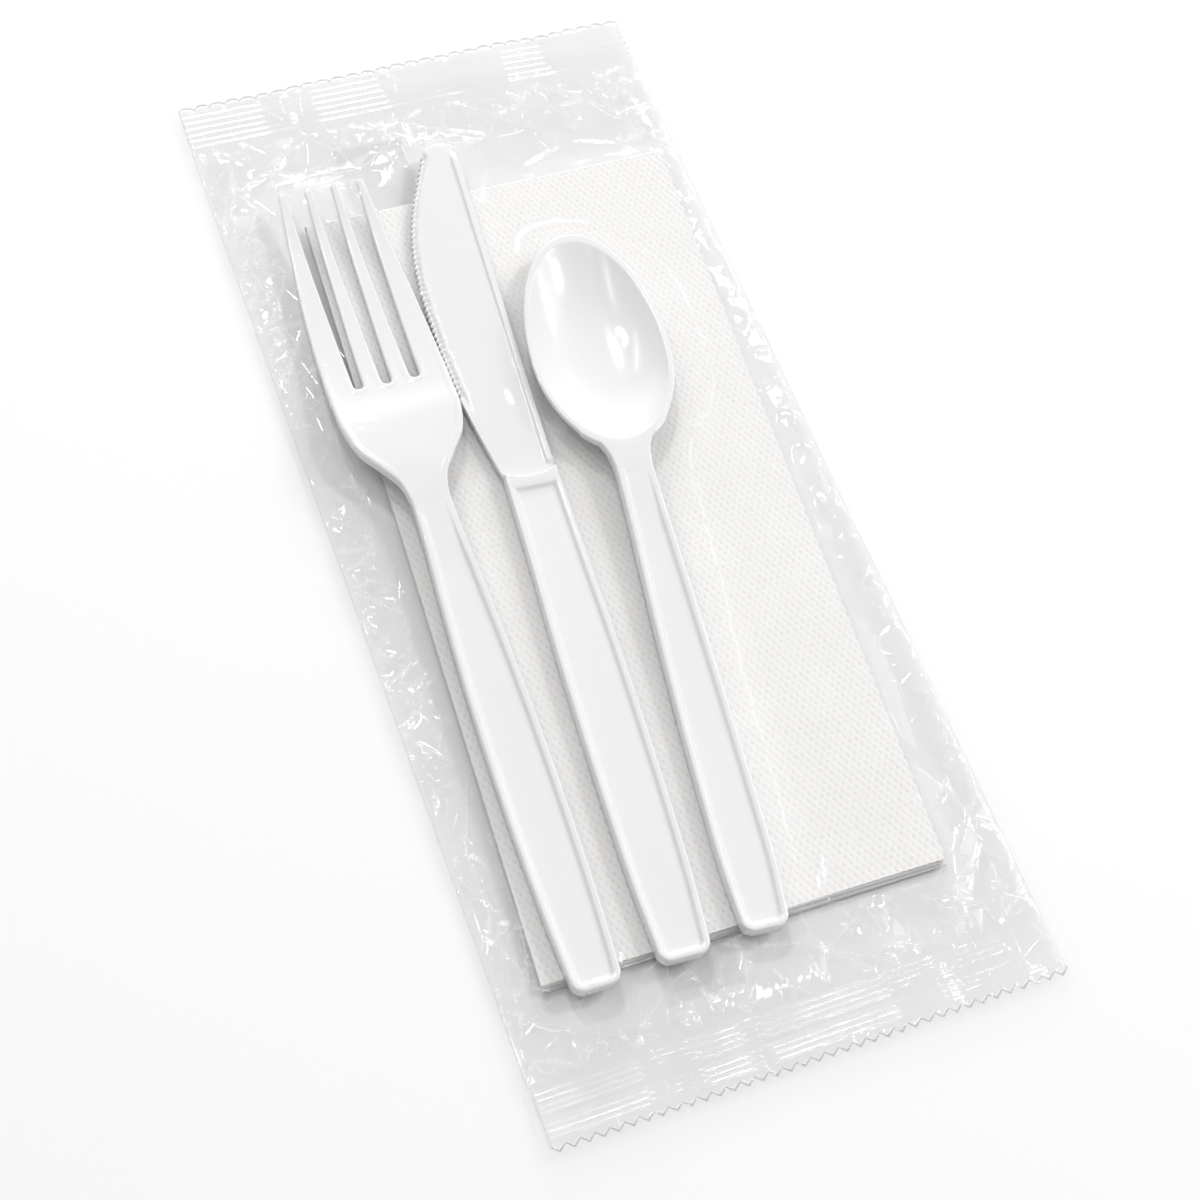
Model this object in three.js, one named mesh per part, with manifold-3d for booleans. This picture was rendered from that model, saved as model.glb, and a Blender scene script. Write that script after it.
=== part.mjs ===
// Sealed cutlery pack: fork, knife and spoon on a folded napkin, in a clear flow-wrapped film.
// Millimetres, +Z up. The pack lies on its back on z = 0, centred on X and Y, with its length along Y.

import * as THREE from 'three';
import { mergeVertices } from 'three/addons/utils/BufferGeometryUtils.js';
import Module from 'manifold-3d';

const wasm = await Module();
wasm.setup();

// ---- driving dimensions ----

const PACK_WIDTH = 100;
const PACK_LENGTH = 231;
const FILM = 0.3;                 // wall of the film, thickened from 0.04 so that it stays a sound solid
const GAP = 0.3;                  // clearance kept between pieces that touch

// wrapper
const SEAL_DEPTH = 11;            // end seal, along Y, without its teeth
const TOOTH_HEIGHT = 1.1;
const TOP_SCALLOPS = 30;
const BOTTOM_TEETH = 37;
const SEAL_RIBS = 7;
const RIB_HEIGHT = 0.2;
const PLAIN_EDGE = 2.1;           // unribbed strip of a seal, beside its teeth
const RIB_START = 0.4;
const SEAL_Z = 0.9;               // underside of the end seals and of the side folds
const EDGE_HEIGHT = 1.0;          // height of the pillow where it meets a side fold or a seal
const PILLOW_TOP = 10.3;
const FLAT_SHARE = 0.88;          // share of the back that lies flat, from the middle outwards
const FIN_LEFT = -21.5;
const FIN_RIGHT = -6.5;
const FIN_THICK = 0.25;
const FIN_LIFT = 0.35;            // how far the back film rises over the folded fin
const FIN_SHORT = 6;              // the fin stops this far short of each end of the pillow
const FIN_FOLD = 0.8;             // width of the fold that joins the fin to the back film
const VENT_RADIUS = 1.2;
const VENT_AT = [34, -99];

// napkin
const NAPKIN_WIDTH = 79.4;
const NAPKIN_LENGTH = 169.6;
const NAPKIN_THICK = 1.8;
const NAPKIN_LEAVES = 4;
const LEAF_SLIT = 0.12;           // opening between leaves at the near end
const LEAF_SLIT_DEPTH = 3;
const LEAF_STEP = 0.35;           // each leaf ends this far short of the one below
const NAPKIN_CENTRE = [2, -5.1];
const NAPKIN_LEAN = THREE.MathUtils.degToRad(3);     // long edges lean to the right at the top
const NAPKIN_DROP = THREE.MathUtils.degToRad(0.6);   // short edges fall to the right
const NAPKIN_Z = FILM + FIN_LIFT + GAP;

// cutlery, each in its own frame: length along Y, resting plane at z = 0
const TABLE_Z = NAPKIN_Z + NAPKIN_THICK + GAP;
const HANDLE_END = -92.8;
const HANDLE_HEIGHT = 3.2;
const END_CORNER = 2.2;           // corner radius of a handle's end, in plan
const BEAD = 1.5;                 // width of the raised bead round a handle panel
const PANEL_DEPTH = 0.7;
const WEB = 1.2;                  // thickness left between the panel and the channel underneath
const REACH = 40;                 // more than any piece measures in X or Z, for cutting tools
const FORK_AXIS = { x: -30.5, tilt: 1.6 };
const KNIFE_AXIS = { x: -9.9, tilt: 4 };
const SPOON_AXIS = { x: 9.6, tilt: 6.35 };

// ---- helpers ----

const point = ([x, y]) => new THREE.Vector2(x, y);

// a closed three.js geometry as a solid that can be joined and cut
function solid(geometry) {
  const bare = geometry.clone();
  bare.deleteAttribute('normal');
  bare.deleteAttribute('uv');
  const merged = mergeVertices(bare, 1e-5);
  return new wasm.Manifold(new wasm.Mesh({
    numProp: 3,
    vertProperties: new Float32Array(merged.attributes.position.array),
    triVerts: new Uint32Array(merged.index.array),
  }));
}

function geometryOf(body) {
  const result = body.getMesh();
  const geometry = new THREE.BufferGeometry();
  geometry.setAttribute('position', new THREE.BufferAttribute(new Float32Array(result.vertProperties), 3));
  geometry.setIndex(new THREE.BufferAttribute(new Uint32Array(result.triVerts), 1));
  geometry.computeVertexNormals();
  return geometry;
}

// a plan outline in X and Y, raised from z = low to z = high
function prism(shape, low, high, curveSegments = 8) {
  const depth = high - low;
  const geometry = new THREE.ExtrudeGeometry(shape, { depth, bevelEnabled: false, curveSegments });
  geometry.translate(0, 0, low);
  return solid(geometry);
}

// a side outline in Y and Z, run across X from -half to half
function slab(shape, half) {
  const depth = 2 * half;
  const geometry = new THREE.ExtrudeGeometry(shape, { depth, bevelEnabled: false, curveSegments: 8 });
  geometry.translate(0, 0, -half);
  geometry.applyMatrix4(new THREE.Matrix4().makeBasis(
    new THREE.Vector3(0, 1, 0),
    new THREE.Vector3(0, 0, 1),
    new THREE.Vector3(1, 0, 0),
  ));
  return solid(geometry);
}

// points along a smooth curve through a few [a, b] pairs
function smooth(pairs, count) {
  return new THREE.SplineCurve(pairs.map(point)).getPoints(count);
}

// the region between two curves given along Y, as a side outline
function between(lower, upper) {
  return new THREE.Shape([...lower, ...[...upper].reverse()]);
}

// a plan outline symmetric about X = 0 from [y, half width] stations, pulled in by inset
function symmetric(stations, count, inset = 0) {
  const side = smooth(stations, count);
  const right = side.map((p) => new THREE.Vector2(p.y - inset, p.x));
  const left = [...right].reverse().map((p) => new THREE.Vector2(-p.x, p.y));
  return new THREE.Shape([...right, ...left]);
}

// a bar with two rounded corners of radius r at its near end
function roundedEnd(halfWidth, end, far, r) {
  const shape = new THREE.Shape();
  shape.moveTo(-halfWidth + r, end);
  shape.lineTo(halfWidth - r, end);
  shape.absarc(halfWidth - r, end + r, r, -Math.PI / 2, 0, false);
  shape.lineTo(halfWidth, far);
  shape.lineTo(-halfWidth, far);
  shape.absarc(-halfWidth + r, end + r, r, Math.PI, 1.5 * Math.PI, false);
  return shape;
}

// what is kept of a piece when its handle's end is rounded: all of it past the two corners
function trimmedTo(halfWidth) {
  const near = roundedEnd(halfWidth, HANDLE_END, HANDLE_END + 2 * END_CORNER, END_CORNER);
  const rest = roundedEnd(REACH, HANDLE_END + 1.6 * END_CORNER, PACK_LENGTH, 1);
  return prism(near, -REACH, REACH).add(prism(rest, -REACH, REACH));
}

// a curve along Y moved up by lift
const raised = (curve, lift) => curve.map((p) => new THREE.Vector2(p.x, p.y + lift));

// cuts the panel into a handle's face, up to Y = top, and the channel into its underside
function handlePanels(body, stations, lower, upper, top) {
  const start = HANDLE_END + BEAD;
  const endHalf = stations[0][1] - BEAD / 2;
  const inner = prism(symmetric(stations, 30, BEAD), -REACH, REACH);
  const ends = prism(roundedEnd(endHalf, start, top, END_CORNER - BEAD / 2), -REACH, REACH);
  const above = slab(between(raised(upper, -PANEL_DEPTH), raised(upper, REACH)), REACH);
  const below = slab(between(raised(lower, -REACH), raised(upper, -PANEL_DEPTH - WEB)), REACH);
  const panel = inner.intersect(ends);
  return body.subtract(panel.intersect(above)).subtract(panel.intersect(below));
}

// ---- fork ----

const TINE_ROOT = 36.4;
const TINE_TIP = 85.6;
const TINE_TIP_WIDTH = 1.5;
const TINE_SPACING = 5.55;
const SLOT_WIDTH = 2.0;
const SLOT_SPACING = 5.8;
const FORK_PANEL_TOP = 7;

const forkHandle = [[HANDLE_END, 4.5], [-80, 5.2], [-62, 5.65], [-45, 5.65], [-28, 5.3], [-12, 4.6],
  [2, 3.9], [9, 4]];
const forkHead = [[9, 4], [12.5, 4.9], [16, 7.2], [20.5, 10.3], [26, 11.9], [33, 12.25], [45, 12.1],
  [58, 11.5]];

function forkPlan() {
  const outer = smooth(forkHandle, 20).map((p) => [p.y, p.x]);
  const head = smooth(forkHead, 24).slice(1).map((p) => [p.y, p.x]);
  const right = [...outer, ...head];
  const shape = new THREE.Shape();
  shape.moveTo(0, HANDLE_END);
  for (const [x, y] of right) {
    shape.lineTo(x, y);
  }
  const tip = TINE_TIP_WIDTH / 2;
  for (let tine = 3; tine >= 0; tine -= 1) {
    const centre = (tine - 1.5) * TINE_SPACING;
    shape.lineTo(centre + tip, TINE_TIP - tip);
    shape.absarc(centre, TINE_TIP - tip, tip, 0, Math.PI, false);
    if (tine > 0) {
      const slot = (tine - 2) * SLOT_SPACING;
      const r = SLOT_WIDTH / 2;
      shape.lineTo(slot + r, TINE_ROOT + r);
      shape.absarc(slot, TINE_ROOT + r, r, 0, -Math.PI, true);
    }
  }
  for (const [x, y] of [...right].reverse()) {
    shape.lineTo(-x, y);
  }
  return shape;
}

function fork() {
  const lower = smooth([[HANDLE_END - 1, 0], [-50, 0.2], [-20, 1.1], [0, 2.1], [12, 3.1], [21, 3.5],
    [27, 3.1], [34, 1.7], [42, 0.7], [58, 0], [72, 0.5], [87, 2.7]], 40);
  const upper = smooth([[HANDLE_END - 1, HANDLE_HEIGHT], [-50, 3.4], [-20, 4.3], [0, 5.2], [12, 5.7],
    [21, 5.7], [27, 5.1], [34, 3.6], [42, 2.5], [58, 1.7], [72, 2.1], [87, 4.1]], 40);
  const body = prism(forkPlan(), -REACH, REACH, 4)
    .intersect(slab(between(lower, upper), REACH))
    .intersect(trimmedTo(4.9));
  return handlePanels(body, forkHandle, lower, upper, FORK_PANEL_TOP);
}

// ---- knife ----

const BLADE_BASE = 9.5;           // where the blade steps up to the collar
const BLADE_TIP = 91.2;
const BLADE_LOW = 0.8;
const BLADE_HIGH = 2.3;
const SPINE_HIGH = 2.9;
const SPINE_RIB = 1.3;
const TEETH = 46;
const TEETH_FROM = 28.5;
const TEETH_TO = 88.5;
const TOOTH_DEPTH = 0.55;
const STEP_SAG = 1.3;             // how far the step up to the collar sags between its ends
const KNIFE_PANEL_TOP = 5.2;
const KNIFE_HANDLE_TOP = 3.4;

const knifeHandle = [[HANDLE_END, 4.75], [-80, 5.55], [-62, 6], [-45, 6.1], [-28, 6], [-12, 5.6],
  [0, 5.4], [BLADE_BASE, 5.3]];
const cuttingEdge = [[BLADE_BASE, -5.5], [18, -7.2], [28, -8.9], [36, -9.7], [46, -10.2], [57, -10.2],
  [67, -9.1], [77, -6.3], [84, -3.4], [88.5, -1.6]];
const spine = [[88, 5.9], [50, 5.5], [BLADE_BASE, 5.1]];

// the blade's outline, with a rounded tip and rounded teeth along the cutting edge
function bladePlan() {
  const edge = new THREE.SplineCurve(cuttingEdge.map(point));
  const shape = new THREE.Shape();
  shape.moveTo(spine[2][1], spine[2][0]);
  shape.lineTo(spine[1][1], spine[1][0]);
  shape.lineTo(spine[0][1], spine[0][0]);
  shape.bezierCurveTo(5.9, BLADE_TIP - 0.2, 3.2, BLADE_TIP + 0.2, 1.6, BLADE_TIP);
  shape.quadraticCurveTo(-0.6, BLADE_TIP - 0.5, -1.6, TEETH_TO);
  const at = (y) => {
    const all = edge.getPoints(80);
    const i = all.findIndex((p) => p.x >= y);
    const a = all[Math.max(i - 1, 0)];
    const b = all[Math.max(i, 1)];
    return THREE.MathUtils.mapLinear(y, a.x, b.x, a.y, b.y);
  };
  for (let tooth = 0; tooth < TEETH; tooth += 1) {
    const from = THREE.MathUtils.lerp(TEETH_TO, TEETH_FROM, tooth / TEETH);
    const to = THREE.MathUtils.lerp(TEETH_TO, TEETH_FROM, (tooth + 1) / TEETH);
    const valley = from * 0.75 + to * 0.25;
    shape.lineTo(at(valley) + TOOTH_DEPTH, valley);
    shape.lineTo(at(to), to);
  }
  for (const y of [24, 20, 15, BLADE_BASE]) {
    shape.lineTo(at(y), y);
  }
  return shape;
}

function knife() {
  const lower = smooth([[HANDLE_END - 1, 0], [0, 0], [BLADE_BASE + 3, 0]], 4);
  const upper = smooth([[HANDLE_END - 1, HANDLE_HEIGHT], [-40, KNIFE_HANDLE_TOP],
    [BLADE_BASE + 3, KNIFE_HANDLE_TOP]], 8);
  const handle = prism(symmetric(knifeHandle, 24), -REACH, REACH)
    .intersect(slab(between(lower, upper), REACH))
    .intersect(trimmedTo(5.1));
  const sag = new THREE.Shape();
  sag.moveTo(-5.4, BLADE_BASE);
  sag.quadraticCurveTo(0, BLADE_BASE - 2 * STEP_SAG, 5.3, BLADE_BASE);
  sag.lineTo(8, REACH);
  sag.lineTo(-8, REACH);
  const root = prism(symmetric([[5, 5.3], [12, 5.2]], 2), BLADE_LOW, BLADE_HIGH);
  const blade = prism(bladePlan(), BLADE_LOW, BLADE_HIGH)
    .add(prism(sag, BLADE_LOW, BLADE_HIGH).intersect(root));
  const rib = new THREE.Shape([
    new THREE.Vector2(5.1, BLADE_BASE - 1),
    new THREE.Vector2(5.5, 50),
    new THREE.Vector2(5.9, 88),
    new THREE.Vector2(5.9 - SPINE_RIB, 88.4),
    new THREE.Vector2(5.5 - SPINE_RIB, 50),
    new THREE.Vector2(5.1 - SPINE_RIB, BLADE_BASE - 1),
  ]);
  const trimmed = handlePanels(handle, knifeHandle, lower, upper, KNIFE_PANEL_TOP)
    .subtract(prism(sag, BLADE_HIGH, REACH));
  return trimmed.add(blade).add(prism(rib, BLADE_LOW, SPINE_HIGH));
}

// ---- spoon ----

const BOWL_Y = 30;                // widest point of the bowl
const BOWL_HALF_WIDTH = 14.3;
const BOWL_TO_TIP = 29;
const BOWL_TO_NECK = 22.5;
const BOWL_RIM = 6.2;
const BOWL_WALL = 1.2;
const BOWL_POWER = 2.3;
const RIM_WIDTH = 0.07;           // share of the half width that the flat lip takes
const SPOON_PANEL_TOP = 2;

const spoonHandle = [[HANDLE_END, 4.3], [-80, 5.1], [-66, 5.15], [-50, 5], [-35, 4.7], [-18, 4.2],
  [-4, 3.8], [4, 3.85]];
const spoonNeck = [[4, 3.85], [6.5, 4.4], [9, 5.7], [11.5, 7.9], [14, 9]];

// a round dish or plug of unit radius, stretched into the egg-shaped plan of the bowl
function egg(profile) {
  const geometry = new THREE.LatheGeometry(profile.map(point), 44);
  geometry.rotateX(Math.PI / 2);
  const position = geometry.attributes.position;
  for (let i = 0; i < position.count; i += 1) {
    const y = position.getY(i);
    position.setX(i, position.getX(i) * BOWL_HALF_WIDTH);
    position.setY(i, BOWL_Y + y * (y > 0 ? BOWL_TO_TIP : BOWL_TO_NECK));
  }
  return solid(geometry);
}

function bowl() {
  const outer = [[0, 0]];
  const inner = [[0, BOWL_WALL]];
  const RINGS = 9;
  for (let ring = 1; ring <= RINGS; ring += 1) {
    const r = ring / RINGS;
    outer.push([r, (BOWL_RIM - BOWL_WALL) * r ** BOWL_POWER]);
    inner.push([r * (1 - RIM_WIDTH), BOWL_WALL + (BOWL_RIM - BOWL_WALL) * r ** BOWL_POWER]);
  }
  return {
    body: egg([...outer, [1, BOWL_RIM], [0, BOWL_RIM]]),
    hollow: egg([...inner, [1 - RIM_WIDTH, 2 * BOWL_RIM], [0, 2 * BOWL_RIM]]),
  };
}

function spoon() {
  const lower = smooth([[HANDLE_END - 1, 0], [-50, 0.3], [-20, 1.6], [0, 2.9], [6, 3.6], [10, 4.5],
    [14, 5], [20, 5.2]], 24);
  const upper = smooth([[HANDLE_END - 1, HANDLE_HEIGHT], [-50, 3.6], [-20, 4.9], [0, 6], [7, BOWL_RIM],
    [20, BOWL_RIM]], 24);
  const plan = symmetric([...spoonHandle, ...spoonNeck.slice(1)], 36);
  const stem = prism(plan, -REACH, REACH)
    .intersect(slab(between(lower, upper), REACH))
    .intersect(trimmedTo(4.7));
  const { body, hollow } = bowl();
  return handlePanels(stem, spoonHandle, lower, upper, SPOON_PANEL_TOP).add(body).subtract(hollow);
}

// ---- napkin ----

// four double leaves, folded together at the far end and open at the near one
function napkin() {
  const half = NAPKIN_LENGTH / 2;
  const leaf = NAPKIN_THICK / NAPKIN_LEAVES;
  const shape = new THREE.Shape();
  shape.moveTo(half - NAPKIN_THICK / 2, 0);
  shape.absarc(half - NAPKIN_THICK / 2, NAPKIN_THICK / 2, NAPKIN_THICK / 2, -Math.PI / 2, Math.PI / 2, false);
  for (let i = NAPKIN_LEAVES - 1; i >= 0; i -= 1) {
    const end = -half + i * LEAF_STEP;
    shape.lineTo(end, (i + 1) * leaf);
    shape.lineTo(end, i * leaf + (i > 0 ? LEAF_SLIT : 0));
    if (i > 0) {
      shape.lineTo(-half + LEAF_SLIT_DEPTH, i * leaf + LEAF_SLIT / 2);
      shape.lineTo(end, i * leaf);
    }
  }
  const geometry = geometryOf(slab(shape, NAPKIN_WIDTH / 2));
  const across = new THREE.Vector3(Math.cos(NAPKIN_DROP), -Math.sin(NAPKIN_DROP), 0);
  const along = new THREE.Vector3(Math.sin(NAPKIN_LEAN), Math.cos(NAPKIN_LEAN), 0);
  geometry.applyMatrix4(new THREE.Matrix4().makeBasis(across, along, new THREE.Vector3(0, 0, 1)));
  return geometry;
}

// ---- wrapper ----

const PILLOW_HALF_X = PACK_WIDTH / 2;
const PILLOW_HALF_Y = PACK_LENGTH / 2 - SEAL_DEPTH;

// 1 in the middle of the pack, falling to 0 at its edges
const plateau = (t, power) => 1 - Math.abs(t) ** power;

// how far a point at share t of the half size has risen from the flat back towards the edge
const turnUp = (t) => THREE.MathUtils.smoothstep(Math.abs(t), FLAT_SHARE, 0.99);

function underside(x, y) {
  const rise = 1 - (1 - turnUp(x / PILLOW_HALF_X)) * (1 - turnUp(y / PILLOW_HALF_Y));
  const overFin = THREE.MathUtils.smoothstep(x, FIN_LEFT - 2.5, FIN_LEFT - 0.5)
    * (1 - THREE.MathUtils.smoothstep(x, FIN_RIGHT + 0.5, FIN_RIGHT + 2.5));
  return Math.max(SEAL_Z * rise, FIN_LIFT * overFin);
}

function topside(x, y) {
  const crown = plateau(x / PILLOW_HALF_X, 12) * plateau(y / PILLOW_HALF_Y, 14);
  return SEAL_Z + EDGE_HEIGHT + (PILLOW_TOP - SEAL_Z - EDGE_HEIGHT) * crown;
}

// the pillow's outer or inner surface: a box whose faces are bent to the film
function pillow(wall) {
  const width = PACK_WIDTH - 2 * wall;
  const length = 2 * (PILLOW_HALF_Y - wall);
  const geometry = new THREE.BoxGeometry(width, length, 2, 18, 20, 1);
  const position = geometry.attributes.position;
  // stations crowd towards the edges, where the film bends most
  const spread = (t) => Math.sign(t) * (1 - Math.max(1 - Math.abs(t), 0) ** 1.5);
  for (let i = 0; i < position.count; i += 1) {
    const x = spread(position.getX(i) * 2 / width) * width / 2;
    const y = spread(position.getY(i) * 2 / length) * length / 2;
    const z = position.getZ(i) > 0 ? topside(x, y) - wall : underside(x, y) + wall;
    position.setXYZ(i, x, y, z);
  }
  return solid(geometry);
}

// one end seal, built at +Y: ribs pressed across two films, and a toothed cut edge
function seal(teeth, rounded) {
  const half = PACK_WIDTH / 2;
  const from = PILLOW_HALF_Y - FILM / 2;
  const root = PACK_LENGTH / 2;
  const pitch = PACK_WIDTH / teeth;
  const plan = new THREE.Shape();
  plan.moveTo(-half, from);
  plan.lineTo(half, from);
  plan.lineTo(half, root);
  for (let tooth = 0; tooth < teeth; tooth += 1) {
    const x = half - tooth * pitch;
    if (rounded) {
      plan.quadraticCurveTo(x - pitch * 0.25, root + TOOTH_HEIGHT, x - pitch * 0.5, root + TOOTH_HEIGHT);
      plan.quadraticCurveTo(x - pitch * 0.75, root + TOOTH_HEIGHT, x - pitch, root);
    } else {
      plan.lineTo(x - pitch * 0.5, root + TOOTH_HEIGHT);
      plan.lineTo(x - pitch, root);
    }
  }
  const side = new THREE.Shape();
  const ribbed = SEAL_DEPTH - PLAIN_EDGE - RIB_START;
  const step = ribbed / SEAL_RIBS;
  const low = SEAL_Z + 0.1;
  const high = low + 2 * FILM;
  const wave = [];
  wave.push([from - RIB_START, 0]);
  for (let rib = 0; rib < SEAL_RIBS; rib += 1) {
    const y = PILLOW_HALF_Y + RIB_START + rib * step;
    wave.push([y, 0]);
    wave.push([y + step * 0.25, RIB_HEIGHT]);
    wave.push([y + step * 0.75, RIB_HEIGHT]);
  }
  wave.push([PILLOW_HALF_Y + RIB_START + ribbed, 0]);
  wave.push([root + 2 * TOOTH_HEIGHT, 0]);
  side.setFromPoints([
    ...wave.map(([y, z]) => new THREE.Vector2(y, low + z)),
    ...wave.reverse().map(([y, z]) => new THREE.Vector2(y, high + z)),
  ]);
  return prism(plan, 0, PILLOW_TOP, 2).intersect(slab(side, PACK_WIDTH));
}

function filmWrapper() {
  const box = (x0, x1, y0, y1, z0, z1) => {
    const geometry = new THREE.BoxGeometry(x1 - x0, y1 - y0, z1 - z0);
    geometry.translate((x0 + x1) / 2, (y0 + y1) / 2, (z0 + z1) / 2);
    return solid(geometry);
  };
  const finEnd = PILLOW_HALF_Y - FIN_SHORT;
  const fin = box(FIN_LEFT, FIN_RIGHT, -finEnd, finEnd, 0, FIN_THICK)
    .add(box(FIN_RIGHT - FIN_FOLD, FIN_RIGHT, -finEnd, finEnd, 0, FIN_LIFT + FILM / 2));
  const vent = new THREE.CylinderGeometry(VENT_RADIUS, VENT_RADIUS, 4, 12);
  vent.rotateX(Math.PI / 2);
  vent.translate(VENT_AT[0], VENT_AT[1], 0);
  return pillow(0)
    .subtract(pillow(FILM))
    .add(seal(TOP_SCALLOPS, true))
    .add(seal(BOTTOM_TEETH, false).rotate([0, 0, 180]))
    .add(fin)
    .subtract(solid(vent));
}

// ---- materials and the scene graph ----

const plastic = (name) => new THREE.MeshStandardMaterial({
  name,
  color: 0xf3f3f5,
  roughness: 0.28,
  metalness: 0,
});

const tissue = new THREE.MeshStandardMaterial({
  name: 'tissue',
  color: 0xf6f4f0,
  roughness: 0.95,
  metalness: 0,
});

const clearFilm = new THREE.MeshStandardMaterial({
  name: 'clear_film',
  color: 0xeef0f2,
  roughness: 0.08,
  metalness: 0,
  transparent: true,
  opacity: 0.25,
});

function utensil(name, body, axis) {
  const mesh = new THREE.Mesh(geometryOf(body), plastic(`${name}_plastic`));
  mesh.name = name;
  mesh.position.set(axis.x, 0, TABLE_Z);
  mesh.rotation.z = -THREE.MathUtils.degToRad(axis.tilt);
  return mesh;
}

const pack = new THREE.Group();

const wrapper = new THREE.Mesh(geometryOf(filmWrapper()), clearFilm);
wrapper.name = 'film_wrapper';
pack.add(wrapper);

const napkinMesh = new THREE.Mesh(napkin(), tissue);
napkinMesh.name = 'napkin';
napkinMesh.position.set(NAPKIN_CENTRE[0], NAPKIN_CENTRE[1], NAPKIN_Z);
pack.add(napkinMesh);

pack.add(utensil('fork', fork(), FORK_AXIS));
pack.add(utensil('knife', knife(), KNIFE_AXIS));
pack.add(utensil('spoon', spoon(), SPOON_AXIS));

export default pack;
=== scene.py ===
"""Looks for a sealed cutlery pack: fork, knife and spoon on a folded napkin in a clear flow wrap.

Shapes are worked out in millimetres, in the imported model's own frame, and become metres in make_mesh().
"""

import math

import bpy
import numpy as np
from mathutils import Matrix, Vector
from mathutils.bvhtree import BVHTree
from mathutils.geometry import delaunay_2d_cdt
from mathutils.kdtree import KDTree


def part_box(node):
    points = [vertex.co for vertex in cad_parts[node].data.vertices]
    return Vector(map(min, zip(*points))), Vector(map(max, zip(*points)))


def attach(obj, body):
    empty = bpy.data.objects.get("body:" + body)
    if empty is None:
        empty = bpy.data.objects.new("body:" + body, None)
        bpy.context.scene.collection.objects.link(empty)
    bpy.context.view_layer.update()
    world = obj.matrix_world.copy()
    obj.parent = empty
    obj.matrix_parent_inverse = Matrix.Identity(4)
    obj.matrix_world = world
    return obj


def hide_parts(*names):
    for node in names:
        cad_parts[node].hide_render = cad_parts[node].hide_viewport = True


MM = 0.001

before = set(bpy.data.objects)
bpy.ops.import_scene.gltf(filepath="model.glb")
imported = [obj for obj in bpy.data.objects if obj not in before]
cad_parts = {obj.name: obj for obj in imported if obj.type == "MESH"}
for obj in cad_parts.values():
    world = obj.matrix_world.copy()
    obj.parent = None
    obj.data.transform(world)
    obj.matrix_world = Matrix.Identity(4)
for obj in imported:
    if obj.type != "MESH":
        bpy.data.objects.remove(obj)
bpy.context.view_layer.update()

# ---- dimensions shared with the construction, in millimetres ----

PACK_HALF_X = 50
PILLOW_HALF_Y = 104.5  # where the end seals begin
SEAL_ROOT_Y = 115.5  # roots of the teeth along the cut ends
TOOTH_HEIGHT = 1.1
TOP_SCALLOPS = 30
BOTTOM_TEETH = 37
SEAL_MID_Z = 1.35
FLAT_SHARE = 0.88  # share of the back that lies flat on the table
FIN_LEFT = -21.5
FIN_RIGHT = -6.5
FIN_LIFT = 0.35
FIN_HALF_Y = 98.5

NAPKIN_WIDTH = 79.4
NAPKIN_LENGTH = 169.6
NAPKIN_THICK = 1.8
NAPKIN_CENTRE = (2, -5.1)
NAPKIN_LEAN = math.radians(3)
NAPKIN_DROP = math.radians(0.6)
NAPKIN_Z = 0.95

TABLE_Z = 3.05  # top of the napkin, which the cutlery lies on
HANDLE_END = -92.8
BEAD = 1.5
PANEL_DEPTH = 0.7
WEB = 1.2
END_CORNER = 2.2
FORK_AXIS = (-30.5, 1.6)  # x of a utensil's middle line at y = 0, and its lean in degrees
KNIFE_AXIS = (-9.9, 4.0)
SPOON_AXIS = (9.6, 6.35)


# ---- small numeric helpers ----

def smoothstep(value, low, high):
    t = np.clip((value - low) / (high - low), 0, 1)
    return t * t * (3 - 2 * t)


def between(value, up, down):
    """1 between two stretches: it rises over the first and falls over the second."""
    return smoothstep(value, *up) * (1 - smoothstep(value, *down))


def curve(stations):
    """A smooth function through a few (at, value) pairs."""
    at = np.array([s[0] for s in stations], float)
    value = np.array([s[1] for s in stations], float)
    slope = np.gradient(value, at)

    def evaluate(x):
        x = np.clip(np.asarray(x, float), at[0], at[-1])
        i = np.clip(np.searchsorted(at, x) - 1, 0, len(at) - 2)
        gap = at[i + 1] - at[i]
        t = (x - at[i]) / gap
        rise = value[i] * (2 * t**3 - 3 * t**2 + 1) + value[i + 1] * (3 * t**2 - 2 * t**3)
        turn = slope[i] * (t**3 - 2 * t**2 + t) + slope[i + 1] * (t**3 - t**2)
        return rise + turn * gap

    return evaluate


def resample(points, step):
    """A closed outline with a point at least every step along each side."""
    out = []
    for a, b in zip(points, np.roll(points, -1, axis=0)):
        pieces = max(1, int(math.ceil(np.linalg.norm(b - a) / step)))
        for k in range(pieces):
            out.append(a + (b - a) * k / pieces)
    return np.array(out)


def distance_to(points, line, closed=True):
    """How far each point is from a line of short segments."""
    tree = KDTree(len(line))
    for i, p in enumerate(line):
        tree.insert((p[0], p[1], 0), i)
    tree.balance()
    nearest = np.array([tree.find((p[0], p[1], 0))[1] for p in points])
    out = np.full(len(points), np.inf)
    for step in (-2, -1, 0, 1):
        a, b = nearest + step, nearest + step + 1
        if closed:
            a, b = a % len(line), b % len(line)
        else:
            a, b = np.clip(a, 0, len(line) - 1), np.clip(b, 0, len(line) - 1)
        start, run = line[a], line[b] - line[a]
        t = np.clip(((points - start) * run).sum(1) / np.maximum((run**2).sum(1), 1e-12), 0, 1)
        out = np.minimum(out, np.linalg.norm(points - start - t[:, None] * run, axis=1))
    return out


def inside(points, outline):
    """Whether each point is inside the closed outline."""
    x, y = points[:, 0], points[:, 1]
    hit = np.zeros(len(points), bool)
    for (x0, y0), (x1, y1) in zip(outline, np.roll(outline, -1, axis=0)):
        if y0 == y1:
            continue
        hit ^= ((y0 > y) != (y1 > y)) & (x < (x1 - x0) * (y - y0) / (y1 - y0) + x0)
    return hit


def new_object(name, data):
    made = bpy.data.objects.new(name, data)
    bpy.context.scene.collection.objects.link(made)
    return made


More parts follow.
